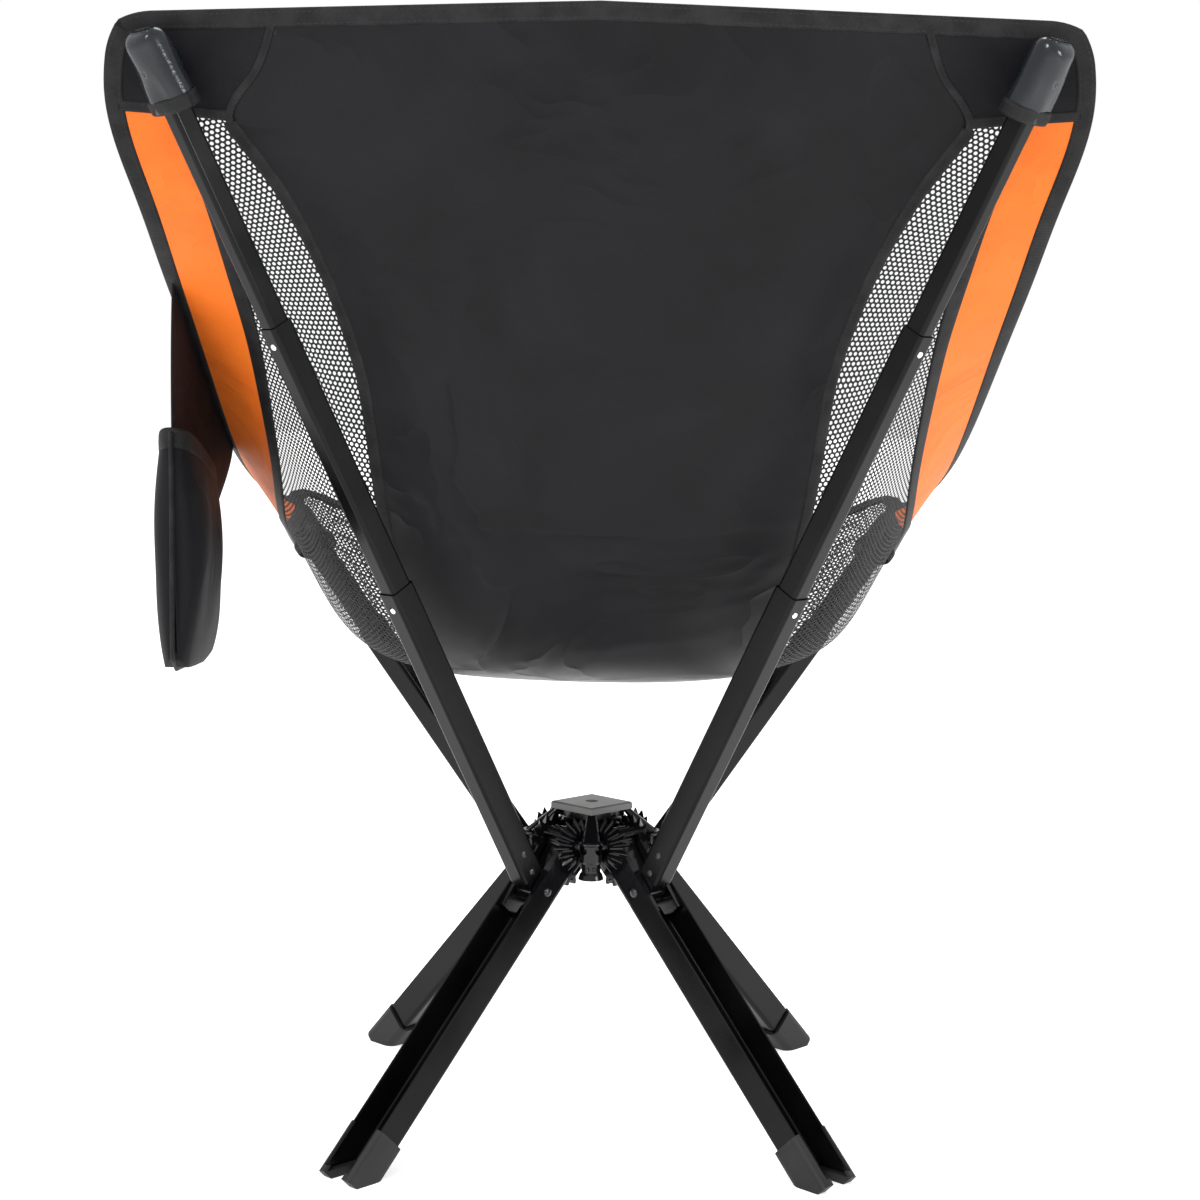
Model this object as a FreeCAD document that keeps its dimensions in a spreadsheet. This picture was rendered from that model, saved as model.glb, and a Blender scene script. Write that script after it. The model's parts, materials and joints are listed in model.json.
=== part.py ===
import FreeCAD, Part
import math
import os
import re

import Sketcher

# Folding camp chair: a geared hub, four legs, four telescopic arms and a hung fabric seat.
# Millimetres. The hub axis is the Z axis, the feet stand on Z = 0 and the sitter faces +Y.

SIZES = (
    # hub
    ("axle_offset", 34.0),
    ("axle_height", 232.0),
    ("axle_radius", 4.0),
    ("column_width", 20.0),
    ("hub_bottom", 207.0),
    ("cap_width", 48.4),
    ("cap_top", 263.0),
    ("cap_thickness", 6.0),
    ("cap_hole_radius", 5.3),
    ("deck_thickness", 6.0),
    ("deck_width", 39.0),
    ("post_radius", 9.4),
    ("rib_thickness", 4.0),
    ("rib_height", 9.0),
    # legs
    ("leg_slope", 45.35),
    ("leg_width", 35.0),
    ("leg_floor", 13.5),
    ("leg_rim", 11.5),
    ("leg_wall", 1.6),
    ("channel_start_rim", 38.0),
    ("channel_start_floor", 56.0),
    ("channel_slot_end", 66.5),
    ("sole_thickness", 7.0),
    ("foot_wall", 2.8),
    ("foot_length", 42.0),
    ("knuckle_gap", 21.2),
    ("knuckle_end", 72.0),
    ("knuckle_radius", 14.0),
    ("saddle_radius", 9.6),
    ("collar_start", 25.5),
    # gears
    ("bevel_teeth", 16.0),
    ("bevel_back", 14.0),
    ("bevel_face", 22.0),
    ("bevel_play", 0.7),
    ("gear_width", 18.0),
    ("gear_play", 0.55),
    ("rear_fixed_teeth", 26.0),
    ("rear_arm_teeth", 11.0),
    ("front_fixed_teeth", 21.0),
    ("front_arm_teeth", 11.0),
    # arms
    ("pivot_distance", 47.4),
    ("pivot_radius", 2.5),
    ("pivot_head_radius", 3.9),
    ("running_play", 0.06),
    ("tube_start", 14.0),
    ("tube_wall", 1.0),
    ("tube_play", 0.3),
    ("tube_corner", 3.0),
    ("lower_width", 19.0),
    ("lower_depth", 22.5),
    ("lower_end", 296.0),
    ("middle_end", 523.0),
    ("rear_tip", 742.0),
    ("front_tip", 452.0),
    ("tube_overlap", 46.0),
    ("plug_reach", 46.0),
    ("rivet_first", 19.6),
    ("rivet_second", 38.0),
    ("rivet_radius", 1.7),
    ("button_radius", 2.75),
    ("button_inset", 14.0),
    ("button_rise", 1.7),
    ("pocket_length", 52.0),
    ("pocket_wall", 2.4),
    ("pocket_top", 3.0),
    ("pocket_screw_inset", 22.0),
    # fabric
    ("sling_thickness", 1.6),
    ("pouch_reach", 321.9),
    ("pouch_turn", -2.9),
    ("pouch_flap", 2.0),
    ("pouch_bulge", 13.0),
)

# The hung seat, front to back. Each row is a strip across it: the middle (y, z), the hem
# (x, y, z), how much the strip bellies down between its hems (0 is taut, 1 is a bucket) and
# how boxy it is (1 is nearly flat with steep sides).
SLING_ROWS = (
    (-292.0, 871.0, 333.0, -292.0, 860.0, 0.00, 0.00),
    (-277.0, 818.0, 344.0, -270.0, 808.0, 0.10, 0.00),
    (-255.0, 752.0, 336.0, -222.0, 748.0, 0.30, 0.00),
    (-228.0, 678.0, 330.0, -162.0, 700.0, 0.50, 0.00),
    (-196.0, 598.0, 326.0, -108.0, 662.0, 0.70, 0.00),
    (-152.0, 510.0, 322.0, -48.0, 622.0, 0.90, 0.10),
    (-95.0, 428.0, 317.0, 8.0, 584.0, 1.00, 0.30),
    (-22.0, 373.0, 313.0, 70.0, 554.0, 1.00, 0.60),
    (60.0, 361.0, 308.0, 135.0, 533.0, 0.90, 0.85),
    (140.0, 374.0, 302.0, 205.0, 518.0, 0.70, 0.95),
    (215.0, 404.0, 296.0, 262.0, 510.0, 0.50, 0.85),
    (309.0, 450.0, 292.0, 319.2, 512.0, 0.25, 0.50),
)

# Outline of the side pouch seen from the side (y, z): along the hem, then round its foot.
POUCH_FLAP = ((-146.0, 686.0), (-108.0, 658.0), (-48.0, 618.0), (8.0, 581.0), (43.0, 563.0))
POUCH_FOOT = ((43.0, 402.0), (34.0, 390.0), (-50.0, 383.0), (-128.0, 412.0), (-145.0, 425.0))
POUCH_BAND = ((-149.0, 572.0), (46.0, 530.0))

CORNERS = {
    "front_left": 135.0,
    "front_right": 45.0,
    "rear_left": 225.0,
    "rear_right": 315.0,
}

UP = FreeCAD.Vector(0, 0, 1)
ALONG = FreeCAD.Vector(1, 0, 0)
ACROSS = FreeCAD.Vector(0, 1, 0)

doc = FreeCAD.newDocument("camp_chair")
sheet = doc.addObject("Spreadsheet::Sheet", "Sizes")
nodes = []


def fill_sheet():
    """Writes every driving size into the spreadsheet under its own name."""
    for row, (alias, value) in enumerate(SIZES, start=1):
        sheet.set(f"A{row}", alias)
        sheet.set(f"B{row}", str(value))
        sheet.setAlias(f"B{row}", alias)
    doc.recompute()


def size(alias):
    """Reads one size from the spreadsheet."""
    return float(sheet.get(alias))


def bound(text):
    """Turns size names in an expression into spreadsheet references."""
    names = {alias for alias, _ in SIZES}
    return re.sub(r"[a-z_]+", lambda m: f"Sizes.{m[0]}" if m[0] in names else m[0], text)


def value(text):
    """Evaluates an expression of size names."""
    return float(sheet.evalExpression(bound(text)))


# Sketches, pads and booleans


def origin_plane(body, role):
    return next(item for item in body.Origin.OriginFeatures if item.Role == role)


def new_body(label):
    body = doc.addObject("PartDesign::Body", label)
    body.Label = label
    return body


def new_sketch(body, role):
    sketch = body.newObject("Sketcher::SketchObject", "Sketch")
    sketch.AttachmentSupport = [(origin_plane(body, role), "")]
    sketch.MapMode = "FlatFace"
    return sketch


def dimension(sketch, kind, geometry, point, text):
    """Pins one coordinate of a sketch point to an expression."""
    index = sketch.addConstraint(Sketcher.Constraint(kind, -1, 1, geometry, point, value(text)))
    sketch.setExpression(f"Constraints[{index}]", bound(text))


def add_polygon(sketch, corners):
    """Draws a closed outline; corners are pairs of expressions."""
    first = sketch.GeometryCount
    spots = [FreeCAD.Vector(value(x), value(y), 0) for x, y in corners]
    count = len(corners)
    for index in range(count):
        sketch.addGeometry(Part.LineSegment(spots[index], spots[(index + 1) % count]))
    for index, (x, y) in enumerate(corners):
        following = (index + 1) % count
        sketch.addConstraint(
            Sketcher.Constraint("Coincident", first + index, 2, first + following, 1)
        )
        dimension(sketch, "DistanceX", first + index, 1, x)
        dimension(sketch, "DistanceY", first + index, 1, y)


def add_circle(sketch, x, y, radius):
    centre = FreeCAD.Vector(value(x), value(y), 0)
    index = sketch.addGeometry(Part.Circle(centre, FreeCAD.Vector(0, 0, 1), value(radius)))
    dimension(sketch, "DistanceX", index, 3, x)
    dimension(sketch, "DistanceY", index, 3, y)
    limit = sketch.addConstraint(Sketcher.Constraint("Radius", index, value(radius)))
    sketch.setExpression(f"Constraints[{limit}]", bound(radius))


def add_box(sketch, half_width, low, high):
    add_polygon(
        sketch,
        (
            (f"-({half_width})", low),
            (half_width, low),
            (half_width, high),
            (f"-({half_width})", high),
        ),
    )


def grow(body, kind, sketch, length, symmetric=True, reverse=False):
    """Pads or pockets a sketch to a length given as an expression."""
    feature = body.newObject(f"PartDesign::{kind}", kind)
    feature.Profile = sketch
    feature.SideType = "Symmetric" if symmetric else "One side"
    feature.Reversed = reverse
    feature.setExpression("Length", bound(length))
    sketch.Visibility = False
    doc.recompute()
    return feature


def edges_along(shape, direction, keep=lambda edge: True):
    """Names the straight edges that run along a direction and pass a test."""
    names = []
    for index, edge in enumerate(shape.Edges, start=1):
        if edge.Curve.TypeId != "Part::GeomLine":
            continue
        if abs(edge.tangentAt(edge.FirstParameter).dot(direction)) > 0.999 and keep(edge):
            names.append(f"Edge{index}")
    return names


def round_edges(body, feature, names, radius):
    fillet = body.newObject("PartDesign::Fillet", "Fillet")
    fillet.Base = (feature, names)
    fillet.setExpression("Radius", bound(radius))
    doc.recompute()
    return fillet


def cylinder(name, radius, height, centre, direction):
    """A cylinder centred on a point."""
    tube = doc.addObject("Part::Cylinder", name)
    tube.setExpression("Radius", bound(radius))
    tube.setExpression("Height", bound(height))
    turn = FreeCAD.Rotation(UP, direction)
    start = centre - direction * (value(height) / 2)
    tube.Placement = FreeCAD.Placement(start, turn)
    return tube


def shaped(name, shape):
    feature = doc.addObject("Part::Feature", name)
    feature.Shape = shape
    return feature


def fused(name, parts):
    join = doc.addObject("Part::MultiFuse", name)
    join.Shapes = parts
    join.Refine = True
    doc.recompute()
    return join


def cut(name, base, tool):
    result = doc.addObject("Part::Cut", name)
    result.Base = base
    result.Tool = tool
    doc.recompute()
    return result


def finish(label, item, placement=None):
    """Names a finished sub-part and puts it in its place."""
    item.Label = label
    if placement is not None:
        item.Placement = placement.multiply(item.Placement)
    nodes.append((label, item))
    return item


# Frames


def turned(azimuth):
    return FreeCAD.Rotation(UP, azimuth)


def leg_frame(azimuth):
    """x runs down the leg from its axle, y runs round the hub, z leaves the open side."""
    axle = turned(azimuth).multVec(FreeCAD.Vector(size("axle_offset"), 0, size("axle_height")))
    slope = FreeCAD.Rotation(ACROSS, size("leg_slope"))
    return FreeCAD.Placement(axle, turned(azimuth).multiply(slope))


def arm_swing(end):
    """Degrees an arm turns in its leg between open and folded."""
    ratio = size(f"{end}_fixed_teeth") / size(f"{end}_arm_teeth")
    return (90.0 - size("leg_slope")) * ratio


def arm_frame(corner):
    """x runs up the arm from its pivot, y runs round the hub, -z is the outer face."""
    azimuth = CORNERS[corner]
    pivot = leg_frame(azimuth).multVec(FreeCAD.Vector(size("pivot_distance"), 0, 0))
    rise = arm_swing(corner.split("_")[0]) - size("leg_slope")
    tilt = FreeCAD.Rotation(ACROSS, -rise)
    return FreeCAD.Placement(pivot, turned(azimuth).multiply(tilt))


# Gears


def involute(angle):
    return math.tan(angle) - angle


def tooth_flank(teeth, module, shift, play, steps=6):
    """Half a tooth as (radius, half angle) pairs, root to tip."""
    pressure = math.radians(20.0)
    pitch = teeth * module / 2
    base = pitch * math.cos(pressure)
    root = pitch - (1.2 - shift) * module
    tip = pitch + (0.9 + shift) * module
    thickness = module * (math.pi / 2 + 2 * shift * math.tan(pressure)) - play
    at_pitch = thickness / (2 * pitch) + involute(pressure)
    flank = [(root, at_pitch)] if root < base else []
    start = max(base, root)
    for step in range(steps + 1):
        radius = start + (tip - start) * step / steps
        flank.append((radius, at_pitch - involute(math.acos(min(1.0, base / radius)))))
    return flank


def tooth_points(flank, centre):
    """Both flanks of one tooth round an angle, in order of growing angle."""
    rising = [(radius, centre - half) for radius, half in flank]
    falling = [(radius, centre + half) for radius, half in reversed(flank)]
    return [
        FreeCAD.Vector(radius * math.cos(angle), 0, radius * math.sin(angle))
        for radius, angle in rising + falling
    ]


def plate(points, width):
    """A plate of a given width with its outline in the x-z plane."""
    face = Part.Face(Part.makePolygon(points + points[:1]))
    solid = face.extrude(ACROSS * width)
    solid.translate(ACROSS * (-width / 2))
    return solid


def spur_module(end):
    teeth = size(f"{end}_fixed_teeth") + size(f"{end}_arm_teeth")
    return 2 * size("pivot_distance") / teeth


def fixed_gear(end):
    """The toothed plate that stands still in the hub, round its axle."""
    teeth = size(f"{end}_fixed_teeth")
    flank = tooth_flank(teeth, spur_module(end), -0.35, size("gear_play"))
    pitch = 2 * math.pi / teeth
    first = -math.radians(size("leg_slope"))
    count = 5 if end == "rear" else 4
    points = []
    for index in reversed(range(count)):
        points += tooth_points(flank, first - index * pitch)
    back = size("column_width") / 2 - size("axle_offset")
    boss = size("saddle_radius") - 0.8
    points += [
        FreeCAD.Vector(boss - 0.2, 0, -1.5),
        FreeCAD.Vector(back, 0, -1.5),
        FreeCAD.Vector(back, 0, -13.0),
    ]
    web = plate(points, size("gear_width"))
    ring = Part.makeCylinder(boss, size("gear_width"), ACROSS * (-size("gear_width") / 2), ACROSS)
    bore = Part.makeCylinder(size("axle_radius"), 40, ACROSS * -20, ACROSS)
    tongue = Part.makeBox(4, 6, 8, FreeCAD.Vector(back - 4, -3, -12))
    return web.fuse([ring, tongue]).cut(bore).removeSplitter()


def arm_gear(end):
    """The toothed end of an arm, round the arm's pivot."""
    teeth = size(f"{end}_arm_teeth")
    flank = tooth_flank(teeth, spur_module(end), 0.35, size("gear_play"))
    pitch = 2 * math.pi / teeth
    gap = math.radians(180.0 - arm_swing(end))
    points = []
    for index in range(5):
        points += tooth_points(flank, gap + (index - 0.5) * pitch)
    points += [FreeCAD.Vector(0, 0, 0)]
    boss_radius = flank[0][0] - 2.0
    width = size("gear_width")
    boss = Part.makeCylinder(boss_radius, width, ACROSS * (-width / 2), ACROSS)
    return plate(points, width).fuse(boss).removeSplitter()


def bevel_ring(side):
    """The bevel teeth on one cheek of a leg knuckle; neighbours mesh at the hub's corners."""
    teeth = int(size("bevel_teeth"))
    apex = size("axle_offset")
    radius = apex - size("bevel_back")
    pitch = 2 * math.pi / teeth
    quarter = pitch * radius / 4
    half = quarter - size("bevel_play") / 2
    levels = ((-0.163, 0.87), (0.0, 0.0), (0.152, -1.02))
    flank = [(radius * (1 + rise), (half + lean) / (radius * (1 + rise))) for rise, lean in levels]
    phase = 0.0 if side > 0 else 0.5
    points = []
    for index in range(teeth):
        points += tooth_points(flank, (index + phase) * pitch)
    back = Part.makePolygon(points + points[:1])
    shrink = (apex - size("bevel_face")) / radius
    front_points = [point * shrink for point in points]
    front = Part.makePolygon(front_points + front_points[:1])
    back.translate(ACROSS * (side * size("bevel_back")))
    front.translate(ACROSS * (side * size("bevel_face")))
    return Part.makeLoft([back, front], True, True)


# Hub


def block(name, x_low, width, depth, bottom, height):
    """A box, square to the legs, from expressions; its y range is centred."""
    box = doc.addObject("Part::Box", name)
    box.setExpression("Length", bound(width))
    box.setExpression("Width", bound(depth))
    box.setExpression("Height", bound(height))
    corner = FreeCAD.Vector(value(x_low), -value(depth) / 2, value(bottom))
    box.Placement = FreeCAD.Placement(corner, FreeCAD.Rotation())
    doc.recompute()
    return box


def post_shape():
    """One corner post: a flared foot with two dimples, a waist ring and a sloping neck."""
    radius = size("post_radius")
    bottom = size("hub_bottom")
    axle = size("axle_height")
    profile = (
        (0.0, bottom),
        (radius + 1.0, bottom),
        (radius, bottom + 4.0),
        (radius - 1.6, bottom + 6.0),
        (radius - 1.6, bottom + 13.0),
        (radius, bottom + 15.5),
        (radius, axle + 3.0),
        (radius + 1.4, axle + 4.4),
        (radius + 1.4, axle + 5.6),
        (radius, axle + 7.0),
        (0.0, axle + 7.0),
    )
    points = [FreeCAD.Vector(x, 0, z) for x, z in profile]
    face = Part.Face(Part.makePolygon(points + points[:1]))
    barrel = face.revolve(FreeCAD.Vector(0, 0, 0), UP, 360)
    inward = FreeCAD.Rotation(UP, 225.0).multVec(ALONG)
    for side in (-22.0, 22.0):
        away = FreeCAD.Rotation(UP, 45.0 + side).multVec(ALONG)
        dimple = Part.makeSphere(3.0, away * (radius + 0.6) + UP * (bottom + 9.5))
        barrel = barrel.cut(dimple)
    apex = FreeCAD.Vector(size("axle_offset"), size("axle_offset"), 0)
    deck = size("cap_top") - size("cap_thickness")
    low = Part.makeCircle(radius - 1.4, apex + UP * (axle + 6.5))
    high = Part.makeCircle(3.8, apex + inward * 19.0 + UP * deck)
    neck = Part.makeLoft([Part.Wire(low), Part.Wire(high)], True)
    barrel.translate(apex)
    return barrel.fuse(neck)


def hub_core():
    """Column, deck, the four posts that carry the axles, and the ribs between them."""
    deck = "cap_top - cap_thickness"
    column_height = f"{deck} - hub_bottom"
    half = "column_width / 2"
    parts = [
        block("Column", f"-{half}", "column_width", "column_width", "hub_bottom", column_height),
        block(
            "Deck",
            "-deck_width / 2",
            "deck_width",
            "deck_width",
            f"{deck} - deck_thickness",
            "deck_thickness",
        ),
    ]
    rib = block("Rib", half, "axle_offset * 1.414 - column_width / 2", "rib_thickness",
                "hub_bottom", "rib_height")
    rib_shape = rib.Shape.copy()
    post = post_shape()
    for index in range(4):
        quarter = FreeCAD.Rotation(UP, 90.0 * index)
        pillar = post.copy()
        pillar.Placement = FreeCAD.Placement(FreeCAD.Vector(), quarter)
        web = rib_shape.copy()
        web.rotate(FreeCAD.Vector(), UP, 45.0 + 90.0 * index)
        parts.append(shaped("Post", pillar.fuse(web)))
    doc.removeObject(rib.Name)
    body = fused("CoreBlank", parts)
    tools = []
    for index in range(4):
        away = FreeCAD.Rotation(UP, 90.0 * index)
        centre = away.multVec(FreeCAD.Vector(size("axle_offset"), 0, size("axle_height")))
        tools.append(cylinder("AxleBore", "axle_radius", "axle_offset * 4", centre,
                              away.multVec(ACROSS)))
        back = size("column_width") / 2
        groove = Part.makeBox(4, 6, 8, FreeCAD.Vector(back - 4, -3, size("axle_height") - 12))
        groove.rotate(FreeCAD.Vector(), UP, 90.0 * index)
        tools.append(shaped("Groove", groove))
    top = UP * size("cap_top")
    tools.append(cylinder("ScrewBore", "pivot_radius", "cap_thickness * 8", top, UP))
    core = cut("HubCore", body, fused("CoreTools", tools))
    finish("hub_core", core, FreeCAD.Placement(FreeCAD.Vector(), turned(45.0)))


def hub_cap():
    """The square top plate with its bevelled edge and recessed middle."""
    body = new_body("hub_cap")
    outline = new_sketch(body, "XY_Plane")
    add_box(outline, "cap_width / 2", "-cap_width / 2", "cap_width / 2")
    pad = grow(body, "Pad", outline, "cap_thickness", False)
    tops = [
        f"Edge{index}"
        for index, edge in enumerate(pad.Shape.Edges, start=1)
        if edge.CenterOfMass.z > size("cap_thickness") - 0.01
    ]
    bevel = body.newObject("PartDesign::Chamfer", "Chamfer")
    bevel.Base = (pad, tops)
    bevel.Size = 1.2
    recess = new_sketch(body, "XY_Plane")
    add_circle(recess, "0", "0", "cap_hole_radius")
    grow(body, "Pocket", recess, "cap_thickness * 4")
    place = FreeCAD.Placement(UP * (size("cap_top") - size("cap_thickness")), turned(45.0))
    finish("hub_cap", body, place)


def hub_screw():
    """The socket screw that holds the cap down into the column."""
    deck = size("cap_top") - size("cap_thickness")
    head = Part.makeCylinder(size("cap_hole_radius") - 0.3, 2.6, UP * deck)
    socket = Part.makeCylinder(2.0, 2.0, UP * (deck + 1.2))
    shank = Part.makeCylinder(size("pivot_radius"), 20, UP * (deck - 18.5))
    finish("hub_screw", shaped("HubScrew", head.cut(socket).fuse(shank)))


def hub_axles():
    """Four steel axles, one for each leg."""
    length = 2 * (size("axle_offset") - size("axle_radius") - 0.6)
    pins = []
    for azimuth in CORNERS.values():
        frame = leg_frame(azimuth)
        across = frame.Rotation.multVec(ACROSS)
        pins.append(
            Part.makeCylinder(size("axle_radius"), length, frame.Base - across * (length / 2), across)
        )
    finish("leg_axles", shaped("LegAxles", Part.makeCompound(pins)))


def fixed_gears():
    """The four toothed plates held still between column and axles."""
    plates = []
    for corner, azimuth in CORNERS.items():
        gear = fixed_gear(corner.split("_")[0])
        gear.Placement = FreeCAD.Placement(leg_frame(azimuth).Base, turned(azimuth))
        plates.append(gear)
    finish("fixed_gears", shaped("FixedGears", Part.makeCompound(plates)))


# Legs


def ground_at(height, clear):
    """Where a line along the leg meets the plane that lies a little above the floor."""
    return f"(axle_height - {clear} + ({height}) * cos(leg_slope)) / sin(leg_slope)"


def leg_channel(corner):
    """An open aluminium channel, cut on the slant at the hub and level at the foot."""
    body = new_body(f"{corner}_leg_channel")
    side = new_sketch(body, "XZ_Plane")
    add_polygon(
        side,
        (
            ("channel_start_rim", "leg_rim"),
            ("channel_start_floor", "-leg_floor"),
            (ground_at("-leg_floor", "sole_thickness"), "-leg_floor"),
            (ground_at("leg_rim", "sole_thickness"), "leg_rim"),
        ),
    )
    pad = grow(body, "Pad", side, "leg_width")
    below = edges_along(pad.Shape, ALONG, lambda edge: edge.CenterOfMass.z < 0)
    round_edges(body, pad, below, "leg_wall * 2.5")
    hollow = new_sketch(body, "YZ_Plane")
    add_box(hollow, "leg_width / 2 - leg_wall", "leg_wall - leg_floor", "leg_rim + 5")
    pocket = grow(body, "Pocket", hollow, "leg_width * 40")
    inner = edges_along(
        pocket.Shape,
        ALONG,
        lambda edge: abs(edge.CenterOfMass.z - (size("leg_wall") - size("leg_floor"))) < 0.05
        and abs(abs(edge.CenterOfMass.y) - (size("leg_width") / 2 - size("leg_wall"))) < 0.05,
    )
    if inner:
        round_edges(body, pocket, inner, "leg_wall * 1.5")
    slot = new_sketch(body, "XY_Plane")
    add_polygon(
        slot,
        (
            ("channel_start_rim", "-gear_width / 2 - 1.6"),
            ("channel_slot_end", "-gear_width / 2 - 1.6"),
            ("channel_slot_end", "gear_width / 2 + 1.6"),
            ("channel_start_rim", "gear_width / 2 + 1.6"),
        ),
    )
    grow(body, "Pocket", slot, "leg_floor * 4")
    hole = new_sketch(body, "XZ_Plane")
    add_circle(hole, "pivot_distance", "0", "pivot_radius")
    grow(body, "Pocket", hole, "leg_width * 2")
    finish(f"{corner}_leg_channel", body, leg_frame(CORNERS[corner]))


def leg_knuckle(corner):
    """The moulded fork between axle and channel, with bevel teeth on both cheeks."""
    body = new_body(f"{corner}_knuckle_body")
    disc = new_sketch(body, "XZ_Plane")
    add_circle(disc, "0", "0", "knuckle_radius")
    grow(body, "Pad", disc, "leg_width - 2 * leg_wall - 0.4")
    cheek = new_sketch(body, "XZ_Plane")
    low = "0.3 + leg_wall - leg_floor"
    add_polygon(
        cheek,
        (
            ("0", low),
            ("channel_start_floor", low),
            ("channel_start_floor + 5", f"{low} + 3.2"),
            ("knuckle_end", f"{low} + 3.2"),
            ("knuckle_end", "leg_rim - 3"),
            ("channel_start_rim", "leg_rim - 0.5"),
            ("0", "leg_rim - 0.5"),
        ),
    )
    grow(body, "Pad", cheek, "leg_width - 2 * leg_wall - 0.4")
    collar = new_sketch(body, "XZ_Plane")
    add_polygon(
        collar,
        (
            ("collar_start", "-leg_floor"),
            ("channel_start_floor - 0.2", "-leg_floor"),
            ("channel_start_rim - 0.2", "leg_rim"),
            ("collar_start", "leg_rim"),
        ),
    )
    pad = grow(body, "Pad", collar, "leg_width")
    lower = edges_along(
        pad.Shape,
        ALONG,
        lambda edge: edge.CenterOfMass.z < 1 - size("leg_floor")
        and abs(edge.CenterOfMass.y) > size("leg_width") / 2 - 0.1,
    )
    round_edges(body, pad, lower, "leg_wall * 2.5")
    gap = new_sketch(body, "XZ_Plane")
    reach = "knuckle_end * 1.5"
    add_polygon(
        gap,
        (
            ("0", "0"),
            ("-12 * cos(38)", "-12 * sin(38)"),
            ("-40 * cos(38)", "-40 * sin(38)"),
            (reach, "-40 * sin(38)"),
            (reach, "60"),
            ("60 * cos(82)", "60 * sin(82)"),
        ),
    )
    grow(body, "Pocket", gap, "knuckle_gap")
    ring = new_sketch(body, "XZ_Plane")
    add_circle(ring, "0", "0", "saddle_radius")
    grow(body, "Pocket", ring, "knuckle_gap")
    hole = new_sketch(body, "XZ_Plane")
    add_circle(hole, "pivot_distance", "0", "pivot_radius")
    grow(body, "Pocket", hole, "leg_width * 2")
    teeth = [shaped("BevelRing", bevel_ring(side)) for side in (-1, 1)]
    blank = fused(f"{corner}_knuckle_blank", [body] + teeth)
    bore = cylinder("AxleRun", "axle_radius + running_play", "axle_offset * 2",
                    FreeCAD.Vector(), ACROSS)
    knuckle = cut(f"{corner}_knuckle", blank, bore)
    finish(f"{corner}_leg_knuckle", knuckle, leg_frame(CORNERS[corner]))


def foot(corner):
    """A rubber boot over the channel's end, cut level so that it stands flat."""
    body = new_body(f"{corner}_foot")
    side = new_sketch(body, "XZ_Plane")
    low = "-leg_floor - foot_wall"
    high = "leg_rim + foot_wall"
    start = f"{ground_at('0', '0')} - foot_length"
    add_polygon(
        side,
        (
            (start, low),
            (ground_at(low, "0"), low),
            (ground_at("leg_rim - 8", "0"), "leg_rim - 8"),
            (ground_at("leg_rim - 8", "0"), high),
            (start, high),
        ),
    )
    pad = grow(body, "Pad", side, "leg_width + 2 * foot_wall")
    long_edges = edges_along(pad.Shape, ALONG)
    round_edges(body, pad, long_edges, "foot_wall * 2.4")
    channel = new_sketch(body, "XZ_Plane")
    add_polygon(
        channel,
        (
            (f"{start} - 20", "-leg_floor"),
            (ground_at("-leg_floor", "sole_thickness"), "-leg_floor"),
            (ground_at("leg_rim", "sole_thickness"), "leg_rim"),
            (f"{start} - 20", "leg_rim"),
        ),
    )
    grow(body, "Pocket", channel, "leg_width")
    mouth = new_sketch(body, "XZ_Plane")
    add_polygon(
        mouth,
        (
            (f"{start} - 20", "leg_rim - 1"),
            (f"{ground_at('leg_rim', '0')} - 16", "leg_rim - 1"),
            (f"{ground_at('leg_rim', '0')} - 10", "leg_rim + foot_wall + 5"),
            (f"{start} - 20", "leg_rim + foot_wall + 5"),
        ),
    )
    grow(body, "Pocket", mouth, "leg_width - 6")
    notch = new_sketch(body, "XZ_Plane")
    add_polygon(
        notch,
        (
            (f"{start} - 20", "leg_wall - leg_floor"),
            (ground_at("-leg_floor", "-40"), "leg_wall - leg_floor"),
            (ground_at("-leg_floor", "-40"), "leg_rim + foot_wall + 5"),
            (f"{start} - 20", "leg_rim + foot_wall + 5"),
        ),
    )
    grow(body, "Pocket", notch, "lower_width + 2.4")
    finish(f"{corner}_foot", body, leg_frame(CORNERS[corner]))


def riveted_pin(name, radius, length, head_radius, head_height):
    """A pin centred across y with a domed head at both ends."""
    pin = Part.makeCylinder(radius, length, ACROSS * (-length / 2), ACROSS)
    for side in (-1, 1):
        base = ACROSS * (side * length / 2)
        away = ACROSS * side
        dome = Part.makeSphere(head_radius, FreeCAD.Vector())
        squash = FreeCAD.Matrix()
        squash.scale(1.0, head_height / head_radius, 1.0)
        dome = dome.transformGeometry(squash)
        keep = Part.makeCylinder(head_radius + 1, head_height + 1, FreeCAD.Vector(), away)
        head = dome.common(keep)
        head.translate(base)
        pin = pin.fuse(head)
    return pin


def leg_pivot(corner):
    """The rivet that holds knuckle and channel together and carries the arm."""
    pin = riveted_pin("Pivot", size("pivot_radius"), size("leg_width"),
                      size("pivot_head_radius"), 1.9)
    pin.translate(ALONG * size("pivot_distance"))
    finish(f"{corner}_pivot_pin", shaped("PivotPin", pin), leg_frame(CORNERS[corner]))


# Arms


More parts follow.
